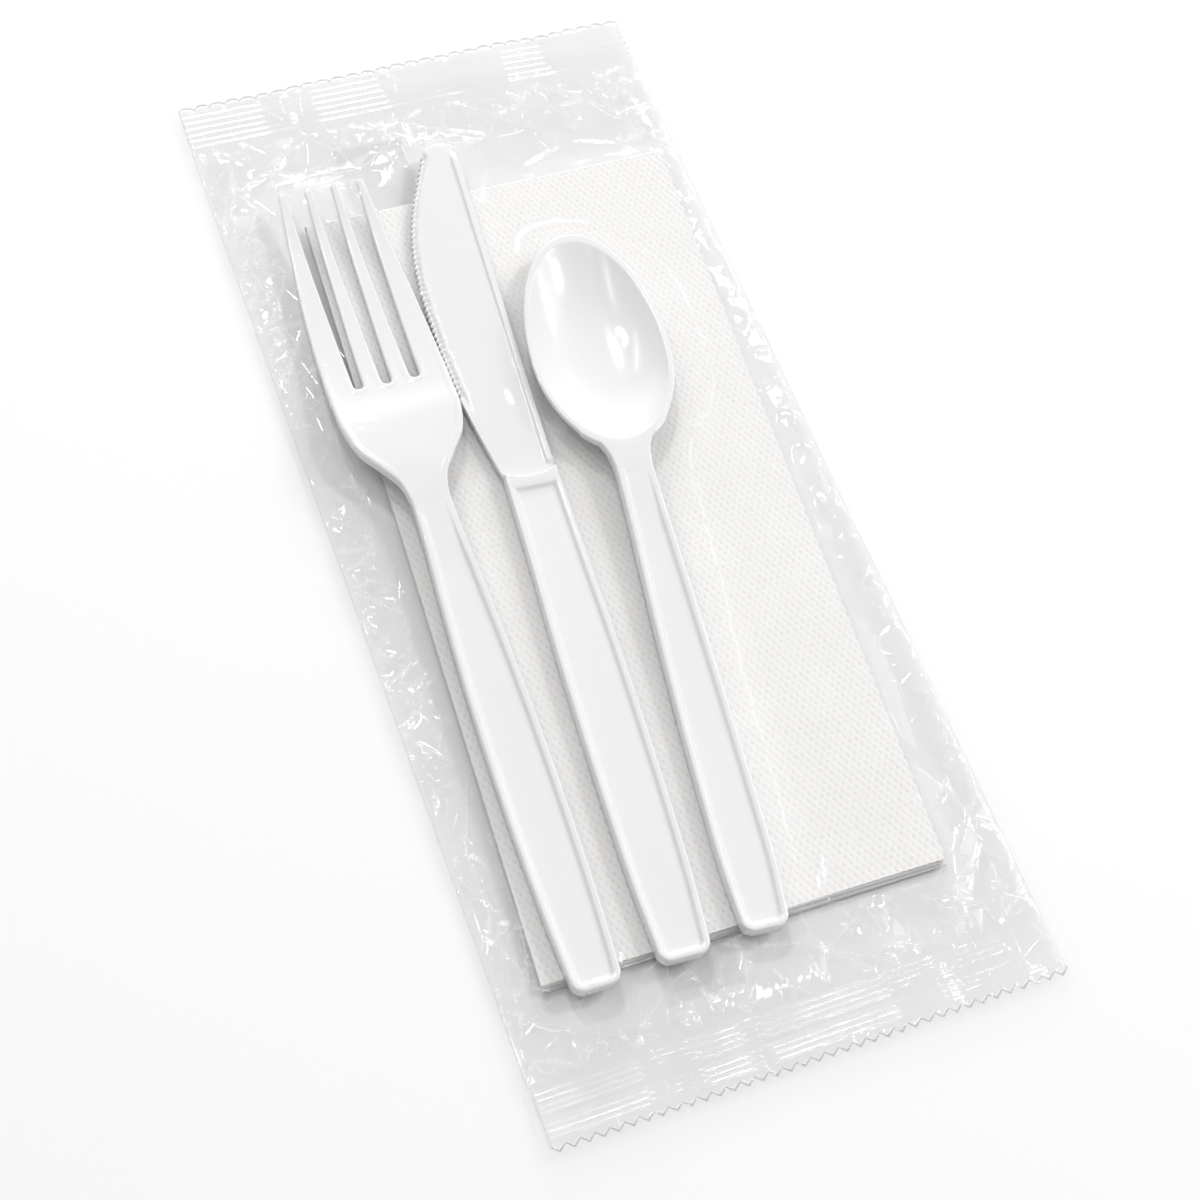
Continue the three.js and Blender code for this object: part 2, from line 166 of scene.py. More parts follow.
def make_mesh(name, vertices, faces):
    """A new smooth-shaded object from vertices in millimetres."""
    mesh = bpy.data.meshes.new(name)
    mesh.from_pydata((np.asarray(vertices, float) * MM).tolist(), [], [list(f) for f in faces])
    mesh.validate()
    mesh.update()
    mesh.shade_smooth()
    return new_object(name, mesh)


# ---- materials ----

FILM_TINT = (0.993, 0.993, 0.995, 1)
# painted shade: the grey that cut edges and side folds are tinted, for the darker look of film seen edge on
FILM_EDGE_SHADE = (0.82, 0.82, 0.83, 1)
FILM_GLOSS = 0.036  # share of the light that film mirrors when seen square on
FILM_GRAZING_GLOSS = 0.8  # and how much more it mirrors edge on
CLING_GLOSS = 0.15  # share of its gloss that is left where the film clings to the contents
FILM_RELIEF = 0.00005  # depth of its finest wrinkles, in metres
CRACKLE_SIZE = 0.0045
CRACKLE_LINE = 0.06
CRACKLE_SHARE = 0.55
# painted highlight: the white that crease lines are mixed towards, in place of their glints
CREASE_GLINT_WHITE = (0.93, 0.93, 0.94, 1)
CREASE_GLINT_SHARE = 0.35
PLASTIC_MARK = 0.985  # brightness of the faint flow marks in the plastic
TISSUE_DARK = (0.823, 0.813, 0.800, 1)
TISSUE_LIGHT = (0.892, 0.883, 0.871, 1)
# painted shade: the colour that the pressed dimples are darkened towards, for the shade in them
TISSUE_PIT_SHADE = (0.66, 0.635, 0.605, 1)
PIT_SHADE_SHARE = 0.55
FLOOR_COLOUR = (0.915, 0.915, 0.915, 1)


def new_material(name):
    material = bpy.data.materials.new(name)
    material.use_nodes = True
    material.node_tree.nodes.clear()
    return material, material.node_tree


def set_socket(tree, socket, value):
    if isinstance(value, bpy.types.NodeSocket):
        tree.links.new(value, socket)
    else:
        socket.default_value = value


def add(tree, kind, **sockets):
    """A node whose sockets are set to plain values or joined to the outputs of other nodes."""
    node = tree.nodes.new("ShaderNode" + kind)
    for key, value in sockets.items():
        set_socket(tree, node.inputs[key.replace("_", " ")], value)
    return node


def object_space(tree, stretch=(1, 1, 1)):
    """Object coordinates for a texture."""
    place = add(tree, "TexCoord").outputs["Object"]
    return add(tree, "Mapping", Scale=stretch, Vector=place).outputs["Vector"]


def attribute(tree, name):
    """A value that is stored at the mesh's vertices."""
    node = add(tree, "Attribute")
    node.attribute_name = name
    return node.outputs["Fac"]


def noise(tree, vector, scale, detail, roughness=0.5, dimensions="3D"):
    node = add(tree, "TexNoise", Vector=vector, Scale=scale, Detail=detail, Roughness=roughness)
    node.noise_dimensions = dimensions
    return node.outputs["Fac"]


def math_node(tree, operation, *values):
    """Arithmetic on numbers and the outputs of other nodes."""
    node = add(tree, "Math")
    node.operation = operation
    for socket, value in zip(node.inputs, values):
        set_socket(tree, socket, value)
    return node.outputs["Value"]


def blend(tree, share, a, b):
    """Colour a where share is 0 and colour b where it is 1."""
    node = add(tree, "Mix")
    node.data_type = "RGBA"
    for name, value in (("Factor", share), ("A", a), ("B", b)):
        set_socket(tree, node.inputs[name], value)
    return node.outputs["Result"]


def mix_shaders(tree, share, a, b):
    node = add(tree, "MixShader")
    for socket, source in zip(node.inputs, (share, a.outputs[0], b.outputs[0])):
        set_socket(tree, socket, source)
    return node


def bump(tree, height, distance, strength=1.0, **under):
    """A relief, which may lie over the Normal of another."""
    return add(tree, "Bump", Height=height, Distance=distance, Strength=strength, **under).outputs["Normal"]


def crackle(tree, place):
    """A web of fine lines: 1 along the borders of irregular cells, 0 inside them."""
    cells = add(tree, "TexVoronoi", Scale=1 / CRACKLE_SIZE, Randomness=1.0)
    cells.feature = "DISTANCE_TO_EDGE"
    cells.voronoi_dimensions = "2D"
    tree.links.new(place, cells.inputs["Vector"])
    line = add(tree, "MapRange", Value=cells.outputs["Distance"], From_Max=CRACKLE_LINE, To_Min=1, To_Max=0)
    line.interpolation_type = "SMOOTHSTEP"
    return line.outputs["Result"]


def film_material():
    """Clear film: mostly see-through, with a mirror gloss that rises towards grazing angles.

    Where it clings to the contents it glints less than where it stands loose. Its cut edges and side folds
    are greyed with painted shade, and its creases are whitened with a painted glint.
    """
    material, tree = new_material("clear_film")
    # painted shade: cut edges and side folds let less light through than the open film
    tint = blend(tree, attribute(tree, "edge"), FILM_TINT, FILM_EDGE_SHADE)
    clear = add(tree, "BsdfTransparent", Color=tint)
    loose = attribute(tree, "loose")
    place = object_space(tree, (1, 0.7, 1))
    web = math_node(tree, "MULTIPLY", crackle(tree, place), loose)
    ripple = noise(tree, place, 150, 0, dimensions="2D")
    height = math_node(tree, "MULTIPLY_ADD", web, CRACKLE_SHARE, ripple)
    relief = bump(tree, height, FILM_RELIEF)
    gloss = add(tree, "BsdfAnisotropic", Color=(1, 1, 1, 1), Roughness=0.04, Normal=relief)
    grazing = math_node(tree, "POWER", add(tree, "LayerWeight", Blend=0.5).outputs["Facing"], 4)
    mirrored_share = math_node(tree, "MULTIPLY_ADD", grazing, FILM_GRAZING_GLOSS, FILM_GLOSS)
    free = math_node(tree, "MULTIPLY_ADD", loose, 1 - CLING_GLOSS, CLING_GLOSS)
    share = math_node(tree, "MULTIPLY", mirrored_share, free)
    film = mix_shaders(tree, share, clear, gloss)
    # painted highlight: crease lines are mixed towards a lit white
    white = add(tree, "BsdfPrincipled", Base_Color=CREASE_GLINT_WHITE, Roughness=0.35)
    whitened = math_node(tree, "MULTIPLY", attribute(tree, "crease"), CREASE_GLINT_SHARE)
    add(tree, "OutputMaterial", Surface=mix_shaders(tree, whitened, film, white).outputs[0])
    return material


def plastic_material(name, colour, roughness, grain_scale, grain_depth):
    """White moulded plastic, with a faint flow unevenness under a fine surface grain."""
    material, tree = new_material(name)
    place = object_space(tree)
    marked = (*[c * PLASTIC_MARK for c in colour[:3]], 1)
    tint = blend(tree, noise(tree, place, 60, 2), marked, colour)
    spread = math_node(tree, "MULTIPLY_ADD", noise(tree, place, 300, 1), 0.08, roughness - 0.04)
    flow = bump(tree, noise(tree, place, 110, 1), 0.00008, 0.6)
    grain = bump(tree, noise(tree, place, grain_scale, 1), grain_depth, Normal=flow)
    shader = add(tree, "BsdfPrincipled", IOR=1.5, Base_Color=tint, Roughness=spread, Normal=grain)
    add(tree, "OutputMaterial", Surface=shader.outputs[0])
    return material


def tissue_material():
    """Soft creped tissue: warm white, fully matt, with fibres, and painted shade in its pressed dashes."""
    material, tree = new_material("tissue")
    fibres = noise(tree, object_space(tree, (1, 0.35, 1)), 1500, 4, 0.7)
    mottle = noise(tree, object_space(tree), 160, 3, 0.6)
    shade = math_node(tree, "MULTIPLY_ADD", fibres, 0.6, math_node(tree, "MULTIPLY", mottle, 0.4))
    # painted shade in the pressed dimples
    pressed = math_node(tree, "MULTIPLY", attribute(tree, "pressed"), PIT_SHADE_SHARE)
    colour = blend(tree, pressed, blend(tree, shade, TISSUE_DARK, TISSUE_LIGHT), TISSUE_PIT_SHADE)
    relief = bump(tree, mottle, 0.0002, 0.5, Normal=bump(tree, fibres, 0.00012, 0.8))
    shader = add(tree, "BsdfPrincipled", Roughness=0.95, IOR=1.3, Sheen_Weight=0.15, Sheen_Roughness=0.6,
                 Base_Color=colour, Normal=relief)
    add(tree, "OutputMaterial", Surface=shader.outputs[0])
    return material


def floor_material():
    material, tree = new_material("studio_floor")
    shader = add(tree, "BsdfPrincipled", Base_Color=FLOOR_COLOUR, Roughness=0.9, Specular_IOR_Level=0.1)
    add(tree, "OutputMaterial", Surface=shader.outputs[0])
    return material


# ---- cutlery ----

OUTLINE_STEP = 0.5
# distances in from an outline at which a row of points follows it, close together where the surface turns
EDGE_RINGS = (0.04, 0.12, 0.22, 0.36, 0.52, 0.75, 1.0, 1.2, 1.34, 1.46, 1.6, 1.78, 2.1)
LEAST_GAP = (0.09, 0.3)  # across and along a utensil, between neighbouring points
FACE_ROUNDING = 0.38  # radius of the moulded edges, on the face and on the back
BACK_ROUNDING = 0.3
BLADE_ROUNDING = 0.14
PANEL_STEP = (1.12, 1.66)  # distances in from the outline between which the bead steps down to the panel
PANEL_FROM = 1.45  # and from which the surface is the panel's grained one
BEAD_CREST = 0.10  # how far the bead's outer part stands above the face
CHANNEL_STEP = (1.2, 1.55)


def fillet(d, radius):
    """How far a rounded edge lies below the face, at distance d in from the outline."""
    inner = np.clip(radius - d, 0, radius)
    return radius - np.sqrt(np.maximum(radius**2 - inner**2, 0))


def right_side(stations, low, high):
    """Right side of a symmetric outline as an array of (x, y), from low to high."""
    y = np.linspace(low, high, int(math.ceil((high - low) / OUTLINE_STEP)) + 1)
    return np.column_stack([curve(stations)(y), y])


def rounded_handle_end(outline):
    """Rounds the two square corners of a handle's end."""
    half = outline[0, 0]
    turn = np.linspace(-math.pi / 2, 0, 9)
    centre = np.array([half - END_CORNER, HANDLE_END + END_CORNER])
    arc = centre + END_CORNER * np.column_stack([np.cos(turn), np.sin(turn)])
    rest = outline[outline[:, 1] > HANDLE_END + END_CORNER + 0.2]
    arc[:, 0] += (rest[0, 0] - half) * smoothstep(arc[:, 1], HANDLE_END, rest[0, 1])
    return np.vstack([arc, rest])


def mirrored(right):
    """The whole outline, anticlockwise, from its right side given from the near end up."""
    left = right[::-1] * np.array([-1, 1])
    keep = left[:, 0] < -1e-6
    return np.vstack([right, left[keep]])


def plan_mesh(outline, seams=(), extra=None):
    """Triangles inside an outline, with rows of points along its edge and along each seam."""
    outline = resample(outline, OUTLINE_STEP)
    run = np.roll(outline, -1, axis=0) - np.roll(outline, 1, axis=0)
    inward = np.column_stack([-run[:, 1], run[:, 0]])
    inward /= np.linalg.norm(inward, axis=1)[:, None]
    rows = []
    for ring in EDGE_RINGS:
        p = outline + inward * ring
        rows.append(p[distance_to(p, outline) > ring - 0.025])
    rows += seams
    low, high = outline.min(0), outline.max(0)
    gx, gy = np.meshgrid(np.arange(low[0], high[0]), np.arange(low[1], high[1]))
    rows.append(np.column_stack([(gx + (np.arange(len(gx)) % 2)[:, None] / 2).ravel(), gy.ravel()]))
    if extra is not None:
        rows.append(extra)
    loose = np.vstack(rows)
    loose = loose[inside(loose, outline)]
    loose = loose[distance_to(loose, outline) > 0.03]
    kept = {}
    for p in loose:
        kept.setdefault((int(p[0] / LEAST_GAP[0]), int(p[1] / LEAST_GAP[1])), p)
    count = len(outline)
    points = [Vector(p) for p in outline] + [Vector(p) for p in kept.values()]
    made = delaunay_2d_cdt(points, [], [list(range(count))], 1, 1e-5)
    plan = np.array([tuple(v) for v in made[0]])
    origin = [ids[0] if ids else -1 for ids in made[3]]
    rim = sorted((i for i, o in enumerate(origin) if 0 <= o < count), key=lambda i: origin[i])
    d = distance_to(plan, outline)
    d[rim] = 0
    return plan, [list(f) for f in made[2]], rim, d


def utensil(name, plan, top, bottom, axis, materials, panel_top):
    """A closed solid between two height fields over one plan, set down on the napkin."""
    points, faces, rim, d = plan
    count = len(points)
    solid = [f if area2(points, f) > 0 else f[::-1] for f in faces]
    all_faces = [tuple(f) for f in solid] + [tuple(i + count for i in f[::-1]) for f in solid]
    for a, b in zip(rim, rim[1:] + rim[:1]):
        all_faces.append((b, a, a + count, b + count))
    turn = -math.radians(axis[1])
    spin = np.array([[math.cos(turn), -math.sin(turn), 0], [math.sin(turn), math.cos(turn), 0], [0, 0, 1]])
    vertices = np.vstack([np.column_stack([points, top]), np.column_stack([points, bottom])])
    made = make_mesh("plastic_" + name, vertices @ spin.T + np.array([axis[0], 0, TABLE_Z]), all_faces)
    for material in materials:
        made.data.materials.append(material)
    reach = np.minimum(d, panel_top + BEAD - points[:, 1])
    index = np.zeros(len(all_faces), int)
    index[:len(solid)] = reach[np.array([f[:3] for f in solid])].min(1) > PANEL_FROM
    made.data.polygons.foreach_set("material_index", index)
    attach(made, "root")
    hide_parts(name)
    return made


def area2(points, face):
    a, b, c = points[face[0]], points[face[1]], points[face[2]]
    return (b[0] - a[0]) * (c[1] - a[1]) - (b[1] - a[1]) * (c[0] - a[0])


def panel_rows(top, half, step=0.5):
    """Rows of points beside the cross bead at the head end of a handle panel."""
    x = np.arange(-half, half + step / 2, step)
    return np.vstack([np.column_stack([x, np.full(len(x), top + BEAD - r)]) for r in EDGE_RINGS if r > 0.9])


def handle_face(d, y, panel_top, fade=None):
    """Depth of the panel below the bead. It ends at a cross bead, or fades out over a stretch of Y."""
    reach = np.minimum(d, panel_top + BEAD - y) if fade is None else d
    sunk = PANEL_DEPTH * smoothstep(reach, *PANEL_STEP) - BEAD_CREST * smoothstep(reach, 1.16, 0.6)
    return sunk if fade is None else sunk * (1 - smoothstep(y, *fade))


def channel_face(d, y, panel_top, thick):
    """Depth of the channel cut into the underside."""
    reach = np.minimum(d, panel_top + BEAD - y)
    return np.maximum(thick - PANEL_DEPTH - WEB, 0) * smoothstep(reach, *CHANNEL_STEP)


TINE_ROOT = 36.4
TINE_TIP = 85.6
TINE_TIP_WIDTH = 1.5
TINE_SPACING = 5.55
SLOT_WIDTH = 2.0
SLOT_SPACING = 5.8
FORK_PANEL_TOP = 7
FORK_PANEL_FADE = (-9, 9)
FORK_HEAD_FROM = 58  # above this the outline is the tines and slots
FORK_HALF = 12.3
FORK_DISH = 0.55  # how far the head's middle is sunk
FORK_DISH_Y = ((14, 24), (34, 60))
FORK_LIP = 0.16  # height of the soft lip round the head
FORK_LIP_IN = ((0.2, 0.5), (0.9, 1.6))
FORK_LIP_Y = ((10, 20), (34, 44))
FORK_SIDE = [(-92.8, 4.5), (-80, 5.2), (-62, 5.65), (-45, 5.65), (-28, 5.3), (-12, 4.6), (2, 3.9), (9, 4.0),
             (12.5, 4.9), (16, 7.2), (20.5, 10.3), (26, 11.9), (33, 12.25), (45, 12.1), (58, 11.5)]
FORK_LOWER = [(-93.8, 0), (-50, 0.2), (-20, 1.1), (0, 2.1), (12, 3.1), (21, 3.5), (27, 3.1), (34, 1.7),
              (42, 0.7), (58, 0), (72, 0.5), (87, 2.7)]
FORK_UPPER = [(-93.8, 3.2), (-50, 3.4), (-20, 4.3), (0, 5.2), (12, 5.7), (21, 5.7), (27, 5.1), (34, 3.6),
              (42, 2.5), (58, 1.7), (72, 2.1), (87, 4.1)]


def fork_outline():
    right = rounded_handle_end(right_side(FORK_SIDE, HANDLE_END, FORK_HEAD_FROM))
    tip = TINE_TIP_WIDTH / 2
    points = [tuple(p) for p in right]
    half_turn = np.linspace(0, math.pi, 9)
    for tine in (3, 2, 1, 0):
        centre = (tine - 1.5) * TINE_SPACING
        points += [(centre + tip * math.cos(t), TINE_TIP - tip + tip * math.sin(t)) for t in half_turn]
        if tine:
            slot = (tine - 2) * SLOT_SPACING
            r = SLOT_WIDTH / 2
            points += [(slot + r * math.cos(t), TINE_ROOT + r - r * math.sin(t)) for t in half_turn]
    points += [(-x, y) for x, y in right[::-1]]
    return np.array(points)


def fork(materials):
    plan = plan_mesh(fork_outline())
    (x, y), d = plan[0].T, plan[3]
    low, high = curve(FORK_LOWER)(y), curve(FORK_UPPER)(y)
    dish = FORK_DISH * between(y, *FORK_DISH_Y) * (1 - np.clip(np.abs(x) / FORK_HALF, 0, 1)**2)
    lip = FORK_LIP * between(y, *FORK_LIP_Y) * between(d, *FORK_LIP_IN)
    top = high - handle_face(d, y, FORK_PANEL_TOP, FORK_PANEL_FADE) - fillet(d, FACE_ROUNDING) - dish + lip
    bottom = low + channel_face(d, y, FORK_PANEL_TOP, high - low) + fillet(d, BACK_ROUNDING) - dish * 0.8
    return utensil("fork", plan, top, bottom, FORK_AXIS, materials, FORK_PANEL_TOP)


BLADE_BASE = 9.5
BLADE_LOW = 0.8
BLADE_HIGH = 2.3
SPINE_HIGH = 2.9
SPINE_RIB = 1.3
TEETH = 46
TEETH_FROM = 28.5
TEETH_TO = 88.5
TOOTH_DEPTH = 0.55
TOOTH_SHAPE = [(0.0, 0), (0.14, 0.75), (0.28, 1), (0.42, 0.8), (0.65, 0.3), (0.85, 0.05)]  # (along, depth)
EDGE_BEVEL = 0.5  # how far the blade thins at its cutting edge
GRIND = 0.34  # depth of the groove that runs up from each tooth
COLLAR_SAG = 1.6
COLLAR_HALF = 5.4
KNIFE_PANEL_TOP = 5.2
KNIFE_SIDE = [(-92.8, 4.75), (-80, 5.55), (-62, 6), (-45, 6.1), (-28, 6), (-12, 5.6), (0, 5.4), (9.5, 5.3)]
CUTTING_EDGE = [(9.5, -5.5), (18, -7.2), (28, -8.9), (36, -9.7), (46, -10.2), (57, -10.2), (67, -9.1),
                (77, -6.3), (84, -3.4), (88.5, -1.6)]
SPINE = [(9.5, 5.1), (50, 5.5), (88, 5.9)]
KNIFE_TIP = [(5.9, 88), (5.75, 89.6), (5.1, 90.7), (4.0, 91.15), (2.7, 91.25), (1.6, 91.2), (0.4, 90.85),
             (-0.7, 89.9)]
KNIFE_UPPER = [(-93.8, 3.2), (-40, 3.4), (12.5, 3.4)]


def knife_outline():
    right = rounded_handle_end(right_side(KNIFE_SIDE, HANDLE_END, BLADE_BASE))
    edge = curve(CUTTING_EDGE)
    points = [tuple(p) for p in right]
    points += [(curve(SPINE)(y), y) for y in np.arange(BLADE_BASE + OUTLINE_STEP, 87.6, OUTLINE_STEP)]
    points += KNIFE_TIP
    pitch = (TEETH_TO - TEETH_FROM) / TEETH
    for tooth in range(TEETH):
        for along, depth in TOOTH_SHAPE:
            y = TEETH_TO - tooth * pitch - along * pitch
            points.append((float(edge(y)) + depth * TOOTH_DEPTH, y))
    points += [(float(edge(y)), y) for y in np.arange(TEETH_FROM, BLADE_BASE, -OUTLINE_STEP)]
    points += [(-x, y) for x, y in right[::-1]]
    return np.array(points)


def step_line(x):
    """Where the blade steps up to the collar: level at the edges, sagging between them."""
    return BLADE_BASE - COLLAR_SAG * (1 - np.clip(np.abs(x) / COLLAR_HALF, 0, 1)**2)


def knife_seams():
    """Rows of points along the panel's cross bead, the collar's step and the flank of the spine's rib."""
    x = np.arange(-5.2, 5.3, 0.4)
    y = np.arange(10, 88, 0.6)
    step_rows = [np.column_stack([x, step_line(x) + s]) for s in (-0.5, -0.25, -0.08, 0.08, 0.25, 0.5)]
    rib_rows = [np.column_stack([curve(SPINE)(y) - s, y]) for s in (1.1, 1.3, 1.5)]
    return [panel_rows(KNIFE_PANEL_TOP, 5), *step_rows, *rib_rows]


def blade_face(points, d):
    """Height of the blade's face, with its bevelled and grooved edge and the rib along its spine."""
    x, y = points.T
    edge = np.array([(float(curve(CUTTING_EDGE)(s)), s) for s in np.arange(BLADE_BASE, 88.6, 1)])
    to_edge = distance_to(points, edge, closed=False)
    bevel = EDGE_BEVEL * (1 - smoothstep(to_edge, 0.9, 1.7)) * smoothstep(y, 24, 30)
    groove = np.abs(np.sin(math.pi * (TEETH_TO - y) * TEETH / (TEETH_TO - TEETH_FROM) + 0.9))
    in_teeth = between(y, (TEETH_FROM - 0.2, TEETH_FROM + 0.2), (TEETH_TO - 0.2, TEETH_TO + 0.2))
    bevel = bevel + GRIND * groove**2 * (1 - smoothstep(to_edge, 0.75, 1.35)) * in_teeth
    rib = 1 - smoothstep(curve(SPINE)(y) - x, SPINE_RIB - 0.25, SPINE_RIB + 0.25)
    rib = (SPINE_HIGH - BLADE_HIGH) * rib * between(y, (10, 11), (86, 89))
    return BLADE_HIGH - bevel + rib - fillet(d, BLADE_ROUNDING)


def knife(materials):
    plan = plan_mesh(knife_outline(), knife_seams())
    (x, y), d = plan[0].T, plan[3]
    handle_high = curve(KNIFE_UPPER)(y)
    handle_top = handle_high - handle_face(d, y, KNIFE_PANEL_TOP) - fillet(d, FACE_ROUNDING)
    on_blade = smoothstep(y - step_line(x), -0.12, 0.12)
    top = handle_top * (1 - on_blade) + blade_face(plan[0], d) * on_blade
    handle_bottom = channel_face(d, y, KNIFE_PANEL_TOP, handle_high) + fillet(d, BACK_ROUNDING)
    blade_bottom = BLADE_LOW + fillet(d, BLADE_ROUNDING)
    under_blade = smoothstep(y, BLADE_BASE, BLADE_BASE + 0.4)
    bottom = handle_bottom * (1 - under_blade) + blade_bottom * under_blade
    return utensil("knife", plan, top, np.minimum(bottom, top - 0.3), KNIFE_AXIS, materials, KNIFE_PANEL_TOP)


BOWL_Y = 30
BOWL_HALF = 14.3
BOWL_TO_TIP = 29
BOWL_TO_NECK = 22.5
BOWL_RIM = 6.2
BOWL_WALL = 1.2
BOWL_POWER = 2.3
RIM_SHARE = 0.07
RINGS_IN_BOWL = np.arange(0.04, 0.95, 0.04)
NECK_TO = 9  # the handle's own outline ends here and blends into the bowl's
NECK_BLEND = (11.5, 15)
SPOON_PANEL_TOP = 2
SPOON_PANEL_FADE = (-12, 6)
SPOON_SIDE = [(-92.8, 4.3), (-80, 5.1), (-66, 5.15), (-50, 5), (-35, 4.7), (-18, 4.2), (-4, 3.8), (4, 3.85),
              (6.5, 4.3), (9, 5.5), (11.5, 7.6), (14, 9.0), (16, 9.6)]
SPOON_LOWER = [(-93.8, 0), (-50, 0.3), (-20, 1.6), (0, 2.9), (6, 3.6), (10, 4.5), (14, 5), (20, 5.2)]
SPOON_UPPER = [(-93.8, 3.2), (-50, 3.6), (-20, 4.9), (0, 6), (7, 6.2), (20, 6.2)]


def bowl_radius(x, y):
    """1 on the bowl's outline, 0 at its lowest point."""
    reach = np.where(y > BOWL_Y, BOWL_TO_TIP, BOWL_TO_NECK)
    return np.sqrt((x / BOWL_HALF)**2 + ((y - BOWL_Y) / reach)**2)


def spoon_outline():
    right = rounded_handle_end(right_side(SPOON_SIDE, HANDLE_END, NECK_TO))
    y = np.arange(NECK_TO + 0.5, BOWL_Y, 0.4)
    egg = BOWL_HALF * np.sqrt(np.maximum(1 - ((BOWL_Y - y) / BOWL_TO_NECK)**2, 0))
    neck = curve(SPOON_SIDE)(y) * (1 - smoothstep(y, *NECK_BLEND))
    lower = np.column_stack([(egg**9 + neck**9)**(1 / 9), y])
    turn = np.linspace(0, math.pi / 2, 60)
    upper = np.column_stack([BOWL_HALF * np.cos(turn), BOWL_Y + BOWL_TO_TIP * np.sin(turn)])
    return mirrored(np.vstack([right, lower, upper]))


def bowl_rings():
    """Rows of points round the inside of the bowl."""
    rings = []
    for r in RINGS_IN_BOWL:
        turn = np.linspace(0, 2 * math.pi, max(10, int(110 * r)), endpoint=False)
        reach = np.where(np.sin(turn) > 0, BOWL_TO_TIP, BOWL_TO_NECK)
        rings.append(np.column_stack([BOWL_HALF * r * np.cos(turn), BOWL_Y + reach * r * np.sin(turn)]))
    return np.vstack(rings)


def soft_min(a, b, width):
    """The smaller of two fields, blended over width where they cross."""
    gap = np.clip(width - np.abs(a - b), 0, None)
    return np.minimum(a, b) - gap**2 / (4 * width)


def spoon(materials):
    plan = plan_mesh(spoon_outline(), extra=bowl_rings())
    (x, y), d = plan[0].T, plan[3]
    low, high = curve(SPOON_LOWER)(y), curve(SPOON_UPPER)(y)
    stem_top = high - handle_face(d, y, SPOON_PANEL_TOP, SPOON_PANEL_FADE)
    stem_bottom = low + channel_face(d, y, SPOON_PANEL_TOP, high - low)
    r = bowl_radius(x, y)
    depth = BOWL_RIM - BOWL_WALL
    hollow = BOWL_WALL + depth * np.minimum(r / (1 - RIM_SHARE), 1.2)**BOWL_POWER
    top = np.where(y > 7, soft_min(stem_top, hollow, 0.12), stem_top) - fillet(d, FACE_ROUNDING)
    shell = depth * np.minimum(r, 1.1)**BOWL_POWER
    bottom = np.where(r < 1.15, soft_min(stem_bottom, shell, 0.25), stem_bottom)
    bottom = np.where((r < 0.9) & (y > 12), shell, bottom) + fillet(d, BACK_ROUNDING)
    return utensil("spoon", plan, top, np.minimum(bottom, top - 0.4), SPOON_AXIS, materials, SPOON_PANEL_TOP)


# ---- napkin ----

NAPKIN_PANELS = 4
DIMPLE_ACROSS = 1.4  # spacing of the pressed dimples in a row, and of the rows
DIMPLE_ALONG = 1.3
DIMPLE_DEPTH = 0.19
LEAF_STEP = 0.13  # how far each leaf falls short of the one under it at the open end
UNDER_ROWS = 48  # rows of vertices on the sheet's lower half
FOLD_ROWS = 10  # and round its cross fold
INNER_COLUMNS = 9
OPEN_END = 30  # length over which the leaves spread towards the open end
NAPKIN_SEED = 5


def napkin_columns(gap):
    """Stations round the lengthwise folds: (x, height in the stack, pitch count on the outer panel or -1)."""
    columns = []
    for panel in range(NAPKIN_PANELS):
        inset = gap * 0.5 + 0.3 * panel
        half = NAPKIN_WIDTH / 2 - inset
        side = 1 if panel % 2 == 0 else -1
        count = int(2 * half / (DIMPLE_ACROSS / 4)) if panel == 0 else INNER_COLUMNS
        for k, x in enumerate(np.linspace(-half, half, count + 1)):
            columns.append((side * x, panel * gap, k if panel == 0 else -1))
        if panel < NAPKIN_PANELS - 1:
            for turn in np.linspace(0, math.pi, 7)[1:-1]:
                x = side * (half + gap * 0.5 * math.sin(turn))
                columns.append((x, (panel + 0.5 - 0.5 * math.cos(turn)) * gap, -1))
    return np.array(columns)


